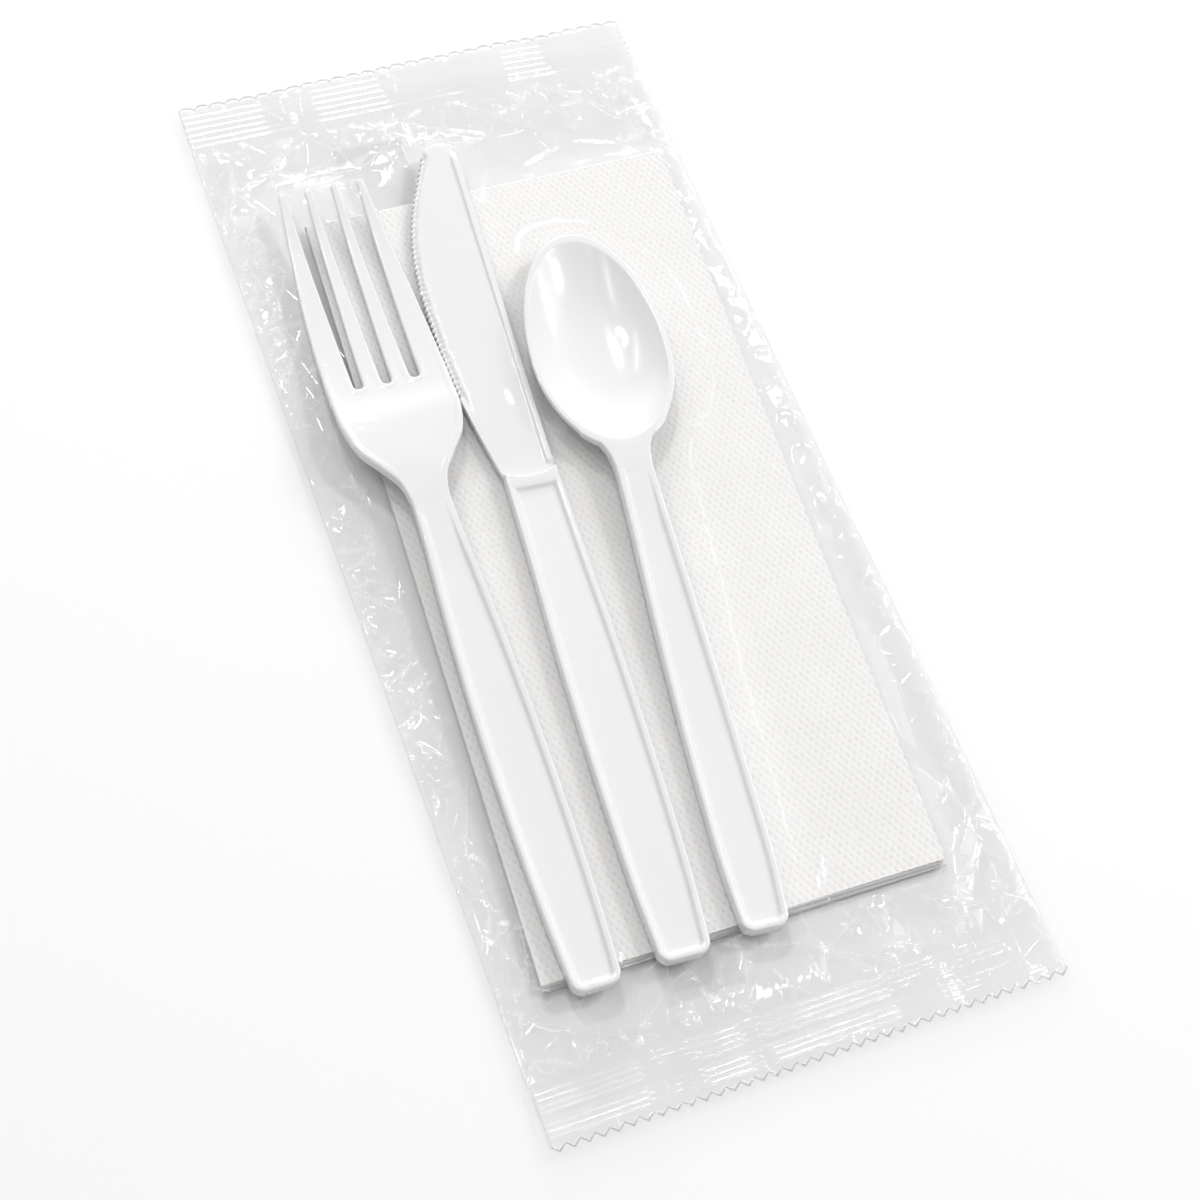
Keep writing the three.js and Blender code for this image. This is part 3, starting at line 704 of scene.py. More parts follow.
def napkin(material):
    """One sheet of tissue, folded twice lengthwise into four and once across."""
    layers = 2 * NAPKIN_PANELS
    gap = NAPKIN_THICK / layers
    columns = napkin_columns(gap)
    x, s, pitch = columns.T
    middle = (layers - 1) / 2 * gap
    far = NAPKIN_LENGTH / 2 - middle - gap * 0.5
    near = -NAPKIN_LENGTH / 2
    rows = [("under", y) for y in np.linspace(near, far, UNDER_ROWS)]
    rows += [("fold", turn) for turn in np.linspace(0, math.pi, FOLD_ROWS + 2)[1:-1]]
    upper = int((far - near) / (DIMPLE_ALONG / 2))
    rows += [("over", y) for y in np.linspace(far, near, upper + 1)]
    rng = np.random.default_rng(NAPKIN_SEED)
    wave = rng.uniform(0, 2 * math.pi, 6)
    vertices, pressed = [], []
    for count, (kind, value) in enumerate(rows):
        press = np.zeros(len(x))
        if kind == "fold":
            reach = middle - s
            y = far + reach * math.sin(value)
            z = middle - reach * math.cos(value)
        else:
            leaf = s / gap if kind == "under" else layers - 1 - s / gap
            close = 1 - smoothstep(np.full(len(x), value), near, near + OPEN_END)
            # the leaves spread a little towards their open end
            y = value + LEAF_STEP * leaf * close
            y = y + 0.1 * np.sin(x / 9 + leaf * 1.7) * close * (leaf > 0)
            z = leaf * gap
            if kind == "over":
                row = count - UNDER_ROWS - FOLD_ROWS
                shift = 2 * ((row // 2) % 2)
                here = (pitch >= 0) & ((pitch + shift) % 4 == 0) & (row % 2 == 0)
                press = np.where(here, 1.0, 0.0) * rng.uniform(0.7, 1.15, len(x))
                y = y - 0.12 * (pitch >= 0) * ((pitch + shift) % 4 == 1)
        swell = 0.05 * np.sin(x / 7 + wave[0] + y / 23) + 0.04 * np.sin(y / 5 + wave[1] + x / 17)
        swell = swell + 0.03 * np.sin(x / 2.6 + wave[2] + y / 9) + 0.03 * np.sin(y / 2.9 + wave[3] - x / 11)
        z = z - DIMPLE_DEPTH * press + swell * (0.3 if kind == "under" else 1.0) + gap / 2
        vertices.append(np.column_stack([x, y, z]))
        pressed.append(press)
    vertices = np.vstack(vertices)
    width = len(columns)
    first = (np.arange(len(rows) - 1)[:, None] * width + np.arange(width - 1)[None]).ravel()
    faces = np.column_stack([first, first + 1, first + 1 + width, first + width])
    shear = np.array([
        [math.cos(NAPKIN_DROP), math.sin(NAPKIN_LEAN), 0],
        [-math.sin(NAPKIN_DROP), math.cos(NAPKIN_LEAN), 0],
        [0, 0, 1],
    ])
    vertices = vertices @ shear.T + np.array([*NAPKIN_CENTRE, NAPKIN_Z])
    made = make_mesh("folded_napkin", vertices, faces.tolist())
    # where the dimples are pressed, which the tissue material darkens with painted shade
    made.data.attributes.new("pressed", "FLOAT", "POINT").data.foreach_set("value", np.concatenate(pressed))
    made.data.materials.append(material)
    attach(made, "root")
    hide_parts("napkin")
    return made


# ---- wrapper ----

CELL = 1.0  # grid on which the film is drawn over the contents
CLEARANCE = 0.25
SLACK = 0.013  # how strongly the film is drawn down between the contents
SLACK_LOW = 1.5  # and the height it stops at
SIDE_POINTS = 141
FOLD_TOP_Z = 1.55  # where the side folds begin on the face and on the back
FOLD_BACK_Z = 1.05
FOLD_WAVER = 0.16
FOLD_OUT = 0.22  # how far the rounded side fold stands out
FOLD_SHARES = (0.3, 0.5, 0.7)
FOLD_SHADE = 0.6  # how much painted shade greys the side fold, as a share of that on a cut edge


def contents_height():
    """Height of what is in the pack, on the film's grid."""
    xs = np.arange(-PACK_HALF_X, PACK_HALF_X + CELL / 2, CELL)
    ys = np.arange(-PILLOW_HALF_Y, PILLOW_HALF_Y + CELL / 2, CELL)
    height = np.full((len(ys), len(xs)), -1.0)
    above, down = 0.1, Vector((0, 0, -1))
    for name in ("napkin", "fork", "knife", "spoon"):
        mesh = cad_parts[name].data
        tree = BVHTree.FromPolygons([v.co for v in mesh.vertices], [p.vertices for p in mesh.polygons])
        low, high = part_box(name)
        for j, y in enumerate(ys):
            if not low.y / MM - 1 < y < high.y / MM + 1:
                continue
            for i, x in enumerate(xs):
                if not low.x / MM - 1 < x < high.x / MM + 1:
                    continue
                hit = tree.ray_cast(Vector((x * MM, y * MM, above)), down)[0]
                if hit is not None:
                    height[j, i] = max(height[j, i], hit.z / MM)
    return xs, ys, height


def spread_out(field):
    """The highest value among each cell and its neighbours."""
    padded = np.pad(field, 1, mode="edge")
    shifts = [padded[a:a + field.shape[0], b:b + field.shape[1]] for a in range(3) for b in range(3)]
    return np.max(shifts, axis=0)


def stretched_over(height, edge_z, rounds=2500):
    """A film held at edge_z all round, resting on the contents and drawn down between them."""
    rest = np.where(height > 0, height + CLEARANCE, SLACK_LOW)
    film = np.maximum(rest, edge_z)
    floor = rest.copy()
    floor[0, :] = floor[-1, :] = floor[:, 0] = floor[:, -1] = 0
    for _ in range(rounds):
        inner = (film[1:-1, :-2] + film[1:-1, 2:]) * 0.3 + (film[:-2, 1:-1] + film[2:, 1:-1]) * 0.2 - SLACK
        film[1:-1, 1:-1] = np.maximum(inner, floor[1:-1, 1:-1])
        film[0, :] = film[-1, :] = edge_z
        film[:, 0] = film[:, -1] = edge_z
    return film, floor


def sampler(xs, ys, field):
    """Bilinear lookup of a field."""
    def look(x, y):
        i = np.clip((np.asarray(x) - xs[0]) / CELL, 0, len(xs) - 1.001)
        j = np.clip((np.asarray(y) - ys[0]) / CELL, 0, len(ys) - 1.001)
        i0, j0 = i.astype(int), j.astype(int)
        u, v = i - i0, j - j0
        near = field[j0, i0] * (1 - u) + field[j0, i0 + 1] * u
        far = field[j0 + 1, i0] * (1 - u) + field[j0 + 1, i0 + 1] * u
        return near * (1 - v) + far * v
    return look


# places where creases meet, as (x, y, height above or below the taut film)
CREASE_KNOTS = [
    # far left corner
    (-44, 91.5, 0.9), (-41, 86, -0.5), (-45, 80.5, 0.7), (-37.5, 96.5, -0.5), (-35, 95.5, 0.6),
    (-49, 101, 0.2), (-47, 92, -0.4), (-36, 95, 0.4), (-31, 99, 0.9), (-20, 97, -0.3), (-28, 93.5, -0.6),
    (-48, 86, 0.3), (-37, 84.5, -0.2), (-42, 75, 0.8), (-38, 73, -0.3), (-42, 72, -0.4), (-47, 73, 0.5),
    (-46, 70, -0.3), (-48, 64, 0.3),
    # far right corner
    (35, 95.5, 1.2), (20, 86.5, -0.4), (15.5, 82.3, 0.2), (27, 86, 0.5), (30, 90, -0.6),
    (38, 100.5, -0.4), (42, 101.3, 0.5), (42.5, 97, 0.8), (45, 95, -0.5), (47, 103, 0.4),
    (40, 94.5, -0.6), (43, 90, 0.7), (42, 89.5, -0.3), (38.5, 83, 0.4), (45, 83, 0.8), (47, 85, -0.4),
    (45.5, 76, 0.5), (44, 82, -0.3), (46, 65, 0.4), (12, 92, 0.5), (3, 97, -0.4), (22, 99, 0.6),
    # left margin
    (-47, 38, 0.5), (-47, 24, 0.7), (-41.5, 15.5, -0.3), (-43.5, 27, 0.9), (-43, 2, 0.8), (-46, 10, -0.4),
    (-45, -3, -0.4), (-46, -8, 0.5), (-47, -16, -0.4), (-45.5, -30, 0.6), (-47.5, -48, -0.4),
    (-46, -60, 0.5), (-47.5, -68, -0.3), (-46, -80, 0.6),
    # right margin
    (48, 55, 0.5), (47.5, 40, -0.3), (48.5, 28, 0.5), (47.8, 12, -0.4), (48.5, -4, 0.5),
    (47.6, -22, -0.4), (48.4, -40, 0.6), (47.4, -56, -0.3), (49, -68, 0.4), (46, -72, -0.5),
    (43, -76, 0.5), (45, -78, -0.4), (49, -78.5, 0.3), (45, -83, 0.7), (46, -90, -0.5), (49, -98, 0.3),
    # near end
    (-40, -91, 0.7), (-39, -96.5, -0.5), (-40, -103.5, 0.2), (-35, -97, 0.8), (-32, -99, -0.5),
    (-30, -98, 0.5), (-28, -101, -0.5), (-10, -92, -0.3), (-5, -94, 0.6), (-12, -101, -0.6),
    (-8, -103, 0.3), (0, -102, 0.2), (5.5, -96.5, 1.0), (9, -98, -0.5), (15, -103.5, 0.5),
    (17.5, -102, -0.5), (20.5, -100.5, 0.9), (27, -103, -0.2), (30, -103.5, 0.2), (36.5, -99, 0.9),
    (31, -95, -0.5), (36, -95, 0.5), (32, -97, -0.4), (41, -99, -0.6), (44, -98.5, 0.7), (44, -103, -0.2),
    # over the contents
    (-9, 88, 0.4), (-2, 78, 0.2), (4, 66, 0.1),
]


KNOT_HEIGHT = 1.15
KNOT_TRIES = 9000
KNOT_MARGIN = 1.2
LEFT_CLEAR = 1.45  # how much further the finer knots keep from the listed ones
CALM = 0.03  # crumpling over the contents
CRUMPLED = 0.27  # and how much more there is at the ends and margins
ENDS_Y = (84, 96)  # stretches over which the crumpling grows
LEFT_X = (38, 43)
RIGHT_X = (43.5, 46.5)
END_SPACING = (4.2, 4.0)
MARGIN_SPACING = (2.8, 6.0)
MIDDLE_SPACING = (11.0, 15.0)
FILM_SEED = 11


def crease_amount(x, y):
    """How far the film is crumpled away from taut: strongly at the ends and margins, faintly elsewhere."""
    sides = np.maximum(smoothstep(-x, *LEFT_X), smoothstep(x, *RIGHT_X))
    return CALM + CRUMPLED * np.maximum(smoothstep(np.abs(y), *ENDS_Y), sides)


def crease_spacing(x, y):
    """(across, along) distance between neighbouring knots."""
    if abs(y) > 90:
        return END_SPACING
    return MARGIN_SPACING if x < -41 or x > 45.5 else MIDDLE_SPACING


def crease_knots(rng):
    """The listed knots, and finer ones thrown at random wherever there is room."""
    knots = [(x, y, KNOT_HEIGHT * height) for x, y, height in CREASE_KNOTS]
    for _ in range(KNOT_TRIES):
        x = rng.uniform(-PACK_HALF_X + KNOT_MARGIN, PACK_HALF_X - KNOT_MARGIN)
        y = rng.uniform(-PILLOW_HALF_Y + KNOT_MARGIN, PILLOW_HALF_Y - KNOT_MARGIN)
        height = rng.normal()
        sx, sy = crease_spacing(x, y)
        room = [LEFT_CLEAR if i < len(CREASE_KNOTS) else 1 for i in range(len(knots))]
        near = min((((x - k[0]) / sx)**2 + ((y - k[1]) / sy)**2) / r**2 for k, r in zip(knots, room))
        if near > 1:
            knots.append((x, y, float(height * crease_amount(x, y))))
    return knots


def edge_waver(rng, at, amount, spacing):
    """A jagged variation along an edge."""
    knots = np.arange(at.min() - spacing, at.max() + 2 * spacing, spacing)
    knots = knots + rng.uniform(-0.3, 0.3, len(knots)) * spacing
    return np.interp(at, knots, rng.normal(0, amount, len(knots)))


BORDER_STEP = 5  # every fifth point of the border is a corner of a facet
CREASE_HALF_WIDTH = 0.15
FACET_STEP = 1.75
CREASE_PINCH = 0.45  # height of a crease's ridge, as a share of the crumpling there
FULL_GLINT_CRUMPLE = 0.27  # crumpling at which a crease's painted glint is full
# painted glint at a knot, as a share of a full one
KNOT_GLINT = 0.4
LEAST_FACET = 0.6  # twice the area below which a facet gets no points of its own
BULGE = 0.25  # how far a facet bulges, as a share of the crumpling


def folded_plane(knots, border):
    """Flat facets between the knots: the corners as (x, y, height), and three corner numbers a facet."""
    corners = list(knots) + [(*border[i], 0.0) for i in range(0, len(border), BORDER_STEP)]
    made = delaunay_2d_cdt([Vector(c[:2]) for c in corners], [], [], 0, 1e-6)
    return np.array([corners[ids[0]] for ids in made[3]]), [tuple(f) for f in made[2]]


def crease_points(place, facets, rng, amount):
    """Points along each crease: their places, heights and painted-glint whiteness, and the lines that join
    them.
    """
    edges = dict.fromkeys((min(a, b), max(a, b)) for f in facets for a, b in zip(f, f[1:] + f[:1]))
    points = [p[:2] for p in place]
    heights = [p[2] for p in place]
    whiteness = [KNOT_GLINT * (amount(*p[:2]) - CALM) / FULL_GLINT_CRUMPLE for p in place]
    lines = []
    for a, b in edges:
        count = max(2, int(round(np.linalg.norm(place[a, :2] - place[b, :2]) / FACET_STEP)))
        strong = amount(*(place[a, :2] + place[b, :2]) / 2)
        pinch = rng.normal() * CREASE_PINCH * strong
        # painted glint along this crease, stronger where the film is crumpled
        white = rng.uniform(-0.8, 1.2) * (strong - CALM) / FULL_GLINT_CRUMPLE
        chain = [a, *range(len(points), len(points) + count - 1), b]
        for k in range(1, count):
            t = k / count
            points.append(place[a, :2] * (1 - t) + place[b, :2] * t)
            heights.append(place[a, 2] * (1 - t) + place[b, 2] * t + pinch * math.sin(math.pi * t)**0.5)
            whiteness.append(white)
        lines += list(zip(chain[:-1], chain[1:]))
    return points, heights, whiteness, lines


def facet_shares(sides, tall):
    """Places inside a facet, as shares of its corners: a row beside each side, and a grid in the middle."""
    shares = []
    for k in range(3):
        off = CREASE_HALF_WIDTH / tall[k]
        if off > 0.3:
            continue
        count = max(2, int(round(sides[k] / FACET_STEP)))
        for t in np.arange(1, count) / count:
            share = np.zeros(3)
            share[k] = (1 - t) * (1 - off)
            share[(k + 1) % 3] = t * (1 - off)
            share[(k + 2) % 3] = off
            shares.append(share)
    rows = int(max(sides) / FACET_STEP)
    for i in range(1, rows):
        for j in range(1, rows - i):
            share = np.array([i, j, rows - i - j]) / rows
            if (share * tall[[1, 2, 0]]).min() > 4 * CREASE_HALF_WIDTH:
                shares.append(share)
    return shares


def facet_points(place, facets, rng, amount):
    """Points that keep each facet flat and each crease narrow, with their heights and painted-glint
    whiteness.
    """
    points, heights, whiteness, lines = crease_points(place, facets, rng, amount)
    for f in facets:
        corner = place[list(f)]
        sides = np.linalg.norm(corner[:, :2] - np.roll(corner[:, :2], -1, axis=0), axis=1)
        double = abs(np.cross(corner[1, :2] - corner[0, :2], corner[2, :2] - corner[0, :2]))
        if double < LEAST_FACET:
            continue
        bulge = rng.normal() * BULGE * amount(*corner[:, :2].mean(0)) * min(1, double / 20)
        for share in facet_shares(sides, double / sides):
            points.append(share @ corner[:, :2])
            heights.append(share @ corner[:, 2] + bulge * 27 * share.prod())
            whiteness.append(0)
    return np.array(points), np.array(heights), np.clip(whiteness, 0, 1), lines


REST_Z = 0.06  # height of the back film where it lies on the table
OVER_FIN = ((FIN_LEFT - 2.5, FIN_LEFT - 0.5), (FIN_RIGHT + 0.5, FIN_RIGHT + 2.5))


def turned_up(t):
    return smoothstep(np.abs(t), FLAT_SHARE, 0.99)


def underside(x, y):
    """Height of the back film: flat on the table, lifted over the fin and towards the edges."""
    rise = 1 - (1 - turned_up(x / PACK_HALF_X)) * (1 - turned_up(y / PILLOW_HALF_Y))
    return REST_Z + np.maximum((SEAL_MID_Z - MOUTH - REST_Z) * rise, FIN_LIFT * between(x, *OVER_FIN))


class Sheet:
    """Vertices and faces of the film, gathered piece by piece."""

    def __init__(self):
        self.vertices = []
        self.faces = []
        self.edge = []
        self.crease = []

    def put(self, points, edge=0.0, crease=0.0):
        first = len(self.vertices)
        self.vertices += [tuple(p) for p in points]
        self.edge += [edge] * len(points)
        self.crease += [crease] * len(points) if np.ndim(crease) == 0 else list(crease)
        return list(range(first, first + len(points)))

    def strip(self, a, b):
        """Faces between two rows of vertices, which may share their ends."""
        for i in range(len(a) - 1):
            self.faces.append(tuple(dict.fromkeys((a[i], a[i + 1], b[i + 1], b[i]))))


def film_border():
    """The pillow's rectangle, anticlockwise from the near left corner, and its sides' numbers of points."""
    near = np.linspace(-PACK_HALF_X, PACK_HALF_X, 4 * BOTTOM_TEETH + 1)
    far = np.linspace(PACK_HALF_X, -PACK_HALF_X, 5 * TOP_SCALLOPS + 1)
    up = np.linspace(-PILLOW_HALF_Y, PILLOW_HALF_Y, SIDE_POINTS)
    border = [(x, -PILLOW_HALF_Y) for x in near]
    border += [(PACK_HALF_X, y) for y in up[1:-1]]
    border += [(x, PILLOW_HALF_Y) for x in far]
    border += [(-PACK_HALF_X, y) for y in up[::-1][1:-1]]
    return np.array(border, float), len(near), len(up), len(far)


def film_layer(border, border_z, interior_z, knots, rng, amount):
    """One face of the pillow as triangles whose outer ring is exactly the border."""
    count = len(border)
    place, facets = folded_plane(knots, border)
    points, heights, whiteness, lines = facet_points(place, facets, rng, amount)
    limit = np.array([PACK_HALF_X - 0.25, PILLOW_HALF_Y - 0.25])
    keep = (np.abs(points) < limit).all(1)
    renumber = np.cumsum(keep) - 1
    lines = [(renumber[a] + count, renumber[b] + count) for a, b in lines if keep[a] and keep[b]]
    points, heights, whiteness = points[keep], heights[keep], whiteness[keep]
    every_point = [Vector(p) for p in border] + [Vector(p) for p in points]
    ring = [(i, (i + 1) % count) for i in range(count)]
    made = delaunay_2d_cdt(every_point, ring + [(int(a), int(b)) for a, b in lines], [], 0, 1e-6)
    plan = np.array([tuple(v) for v in made[0]])
    origin = np.array([ids[0] if ids else -1 for ids in made[3]])
    inner = origin >= count
    dz, white = np.zeros(len(plan)), np.zeros(len(plan))
    dz[inner] = heights[origin[inner] - count]
    white[inner] = whiteness[origin[inner] - count]
    z = interior_z(plan[:, 0], plan[:, 1], dz)
    on_border = (origin >= 0) & (origin < count)
    z[on_border] = border_z[origin[on_border]]
    return plan, z, origin, [tuple(f) for f in made[2]], white


# (x where a block of the seal begins, how deep its ribs are pressed, how far the seal bends up there)
RIB_BLOCKS_FAR = [(-50, 1.0, 0.10), (-33, 0.35, -0.12), (-21.5, 1.0, 0.16), (-6, 0.3, -0.10), (1, 0.5, 0.10),
                  (9, 0.25, -0.08), (21, 1.0, 0.20), (31, 0.3, -0.16), (37, 0.5, 0.12), (50, 0.5, 0.0)]
RIB_BLOCKS_NEAR = [(-50, 1.0, 0.12), (-40, 1.0, -0.12), (-31, 0.35, 0.14), (-20, 1.0, -0.06),
                   (-11, 0.35, 0.10), (-7, 1.0, -0.12), (5, 1.0, 0.06), (17, 0.4, -0.14), (27, 0.5, 0.12),
                   (30, 0.4, -0.10), (43, 0.6, 0.14), (50, 0.6, 0.0)]
BLOCK_BEND = 1.6
RIB_FAR = 0.115  # half height of the ribs at each end, and their pitch
RIB_FAR_PITCH = 1.55
RIB_FAR_BAND = ((0.4, 1.2), (9.6, 10.2))
RIB_NEAR = 0.15
RIB_NEAR_PITCH = 1.12
RIB_NEAR_BANDS = [((0.4, 0.9), (4.9, 5.2)), ((5.8, 6.1), (9.4, 9.8))]
RIB_SHARPNESS = 0.85
CRUMPLE = 0.05  # unevenness of a seal between its ribbed blocks
FLUTE = 0.09  # and of its cut edge
TOOTH_CURL = 0.14
FILM_HALF = 0.05  # half the distance between the two films in a seal
MOUTH = 0.25  # and where the seal begins
MOUTH_SHARE = 0.3  # share of the seal over which they close
CUT_BEAD = 0.13  # half height and half width of the melted bead along a cut edge
CUT_BEAD_WIDTH = 0.16
SEAL_CALM = 2.0  # creases fade out over this distance from a seal
SEAL_LIFT = 0.7  # how far the cut edge curls up off the table
SEAL_ROWS = 64
BEAD_ROWS = 7


def zigzag(turns):
    """A wave between -1 and 1 with rather straight flanks and rounded crests."""
    return np.arcsin(RIB_SHARPNESS * np.sin(2 * math.pi * turns)) / math.asin(RIB_SHARPNESS)


def end_ribs(run, far):
    """Height of the crimped ribs at a distance into the seal."""
    if far:
        return RIB_FAR * zigzag((run - 0.8) / RIB_FAR_PITCH) * between(run, *RIB_FAR_BAND)
    bands = sum(between(run, *band) for band in RIB_NEAR_BANDS)
    return RIB_NEAR * zigzag((run - 0.3) / RIB_NEAR_PITCH) * bands


def seal_rows(sheet, end, border_top, border_bottom, xs, rng):
    """A pressed end seal: two film layers, ribbed across, down to the toothed cut edge."""
    far = end > 0
    blocks = RIB_BLOCKS_FAR if far else RIB_BLOCKS_NEAR
    starts = np.array([b[0] for b in blocks], float)
    block = np.clip(np.searchsorted(starts, xs, "right") - 1, 0, len(blocks) - 1)
    press = np.array([b[1] for b in blocks])[block]
    bend = np.interp(xs, starts, [b[2] for b in blocks]) * BLOCK_BEND
    teeth = TOP_SCALLOPS if far else BOTTOM_TEETH
    phase = ((xs + PACK_HALF_X) / (2 * PACK_HALF_X) * teeth) % 1
    tooth = np.abs(np.sin(math.pi * phase))**0.8 if far else 1 - np.abs(2 * phase - 1)
    whole = SEAL_ROOT_Y - PILLOW_HALF_Y
    bead_from = 1 - 2 * CUT_BEAD_WIDTH / whole
    shares = [*np.linspace(0.0, bead_from, SEAL_ROWS), *np.linspace(bead_from, 1.0, BEAD_ROWS)[1:]]
    flute = edge_waver(rng, xs, FLUTE, 3.1)
    crumple = [edge_waver(rng, xs, CRUMPLE, 2.0) * (1.3 - press) for _ in range(4)]
    tops, bottoms = [border_top], [border_bottom]
    for share in shares[1:]:
        run = share * whole
        y = PILLOW_HALF_Y + run + tooth * TOOTH_HEIGHT * smoothstep(share, 0.9, 1.0)
        lift = SEAL_LIFT * share**1.6 * (1 + 0.35 * np.sin(xs / 13 + end))
        z = SEAL_MID_Z + end_ribs(run, far) * press + bend * smoothstep(share, 0.0, 0.35) + lift
        z = z + flute * smoothstep(share, 0.6, 1.0)
        z = z + TOOTH_CURL * np.cos(2 * math.pi * phase) * smoothstep(share, 0.86, 1.0)
        for turn, part in enumerate(crumple):
            z = z + part * max(0.0, 1 - abs(share * (len(crumple) - 1) - turn)) * smoothstep(share, 0.0, 0.1)
        thick = FILM_HALF + (MOUTH - FILM_HALF) * (1 - smoothstep(share, 0.0, MOUTH_SHARE))
        across_bead = (run - whole + CUT_BEAD_WIDTH) / CUT_BEAD_WIDTH
        thick = thick + CUT_BEAD * math.sqrt(max(0.0, 1 - across_bead**2))
        # the cut edge's rows take the film's painted edge shade
        cut = float(share > bead_from)
        upper_row = sheet.put(np.column_stack([xs, np.sign(end) * y, z + thick]), edge=cut)
        lower_row = sheet.put(np.column_stack([xs, np.sign(end) * y, z - thick])[1:-1], edge=cut)
        tops.append(upper_row)
        bottoms.append([upper_row[0], *lower_row, upper_row[-1]])
    pairs = list(zip(tops[:-1], tops[1:]))
    pairs += [(b, a) for a, b in zip(bottoms, bottoms[1:] + tops[-1:])]
    for a, b in pairs:
        sheet.strip(*((a, b) if far else (b, a)))


FIN_POINTS = 300
FIN_ROWS = 12
FIN_RIB = 0.03
FIN_RIB_PITCH = 1.4
FIN_Z = 0.12


def fin_seal(sheet, rng):
    """The long seal that closes the tube, folded flat against the back."""
    ys = np.linspace(-FIN_HALF_Y, FIN_HALF_Y, FIN_POINTS)
    ribs = FIN_RIB * np.sin(ys * 2 * math.pi / FIN_RIB_PITCH)
    xs = np.linspace(FIN_LEFT, FIN_RIGHT, FIN_ROWS)
    waver = edge_waver(rng, ys, 0.05, 17)
    rows = [sheet.put(np.column_stack([x + waver * (x == FIN_LEFT), ys, FIN_Z + ribs])) for x in xs]
    # the fold at its root, and its join with the back
    for x, z in ((FIN_RIGHT + 0.15, 0.25), (FIN_RIGHT - 0.3, 0.4)):
        rows.append(sheet.put(np.column_stack([np.full(len(ys), x), ys, np.full(len(ys), z)])))
    for a, b in zip(rows[:-1], rows[1:]):
        sheet.strip(a, b)


def side_fold(sheet, top, bottom, outward):
    """The rounded fold between the face and the back along one side."""
    previous = top
    for share in FOLD_SHARES:
        row = []
        for i, j in zip(top, bottom):
            p = np.array(sheet.vertices[i]) * (1 - share) + np.array(sheet.vertices[j]) * share
            p[0] += outward * FOLD_OUT * math.sin(math.pi * share)
            row.append(p)
        ids = sheet.put(row, edge=FOLD_SHADE)
        sheet.strip(ids, previous)
        previous = ids
    sheet.strip(bottom, previous)


def put_layer(sheet, layer, count, upward):
    """Adds one face of the pillow to the sheet, and gives back the vertices of its border in order."""
    plan, z, origin, faces, white = layer
    ids = sheet.put(np.column_stack([plan, z]), crease=white if upward else 0.0)
    for f in faces:
        g = [ids[i] for i in f]
        sheet.faces.append(tuple(g if (area2(plan, f) > 0) == upward else g[::-1]))
    ring = [0] * count
    for i, o in zip(ids, origin):
        if 0 <= o < count:
            ring[o] = i
    return ring


def wrapper(material):
    """The film: two crumpled faces, the folds along their sides, two end seals and the fin seal."""
    rng = np.random.default_rng(FILM_SEED)
    xs, ys, height = contents_height()
    taut, floor = stretched_over(height, SEAL_MID_Z + MOUTH)
    taut_at, floor_at = sampler(xs, ys, taut), sampler(xs, ys, floor)
    border, near_count, side_count, far_count = film_border()
    count = len(border)
    on_side = np.abs(border[:, 0]) > PACK_HALF_X - 0.01
    fold_z = edge_waver(rng, np.arange(count, dtype=float), FOLD_WAVER, 9)
    border_top = np.where(on_side, FOLD_TOP_Z + fold_z, SEAL_MID_Z + MOUTH)
    border_bottom = np.where(on_side, FOLD_BACK_Z + fold_z * 0.7, SEAL_MID_Z - MOUTH)

    def top_z(x, y, dz):
        z = taut_at(x, y) + dz * np.clip((PILLOW_HALF_Y - np.abs(y)) / SEAL_CALM, 0, 1)
        return np.maximum(z, floor_at(x, y) - CLEARANCE + 0.1)

    def bottom_z(x, y, dz):
        loose_share = 0.5 * (turned_up(x / PACK_HALF_X) + turned_up(y / PILLOW_HALF_Y))
        dz = dz * loose_share * np.clip((PILLOW_HALF_Y - np.abs(y)) / SEAL_CALM, 0, 1)
        return np.clip(underside(x, y) + dz, REST_Z - 0.01, SEAL_MID_Z - MOUTH)

    clings = (height > 0) * 1.0
    for _ in range(6):
        clings = (spread_out(clings) + clings) / 2
    sheet = Sheet()
    knots = crease_knots(rng)
    top = film_layer(border, border_top, top_z, knots, rng, crease_amount)
    loose_knots = [(-x * 0.995, y, -h) for x, y, h in knots if abs(x) > 40 or abs(y) > 88]
    bottom = film_layer(border, border_bottom, bottom_z, loose_knots, rng, crease_amount)
    top_ring = put_layer(sheet, top, count, True)
    bottom_ring = put_layer(sheet, bottom, count, False)
    right_start = near_count - 1
    far_start = right_start + side_count - 1
    left_start = far_start + far_count - 1
    right = range(right_start, far_start + 1)
    left = [*range(left_start, count), 0]
    for run, outward in ((right, 1), (left, -1)):
        side_fold(sheet, [top_ring[i] for i in run], [bottom_ring[i] for i in run], outward)
    for run, end in ((range(near_count), -1), (range(left_start, far_start - 1, -1), 1)):
        at = border[list(run), 0]
        seal_rows(sheet, end, [top_ring[i] for i in run], [bottom_ring[i] for i in run], at, rng)
    fin_seal(sheet, rng)
    made = make_mesh("wrapper_film", sheet.vertices, sheet.faces)
    loose = np.ones(len(sheet.vertices))
    x, y = top[0].T
    loose[:len(x)] = 1 - np.clip(sampler(xs, ys, clings)(x, y), 0, 1)
    # loose sets the gloss; edge carries the painted shade of cut edges and folds; crease the painted glint of
    # creases
    for name, values in (("loose", loose), ("edge", sheet.edge), ("crease", sheet.crease)):
        made.data.attributes.new(name, "FLOAT", "POINT").data.foreach_set("value", values)
    made.data.materials.append(material)
    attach(made, "root")
    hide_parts("film_wrapper")
    return made


# ---- studio ----

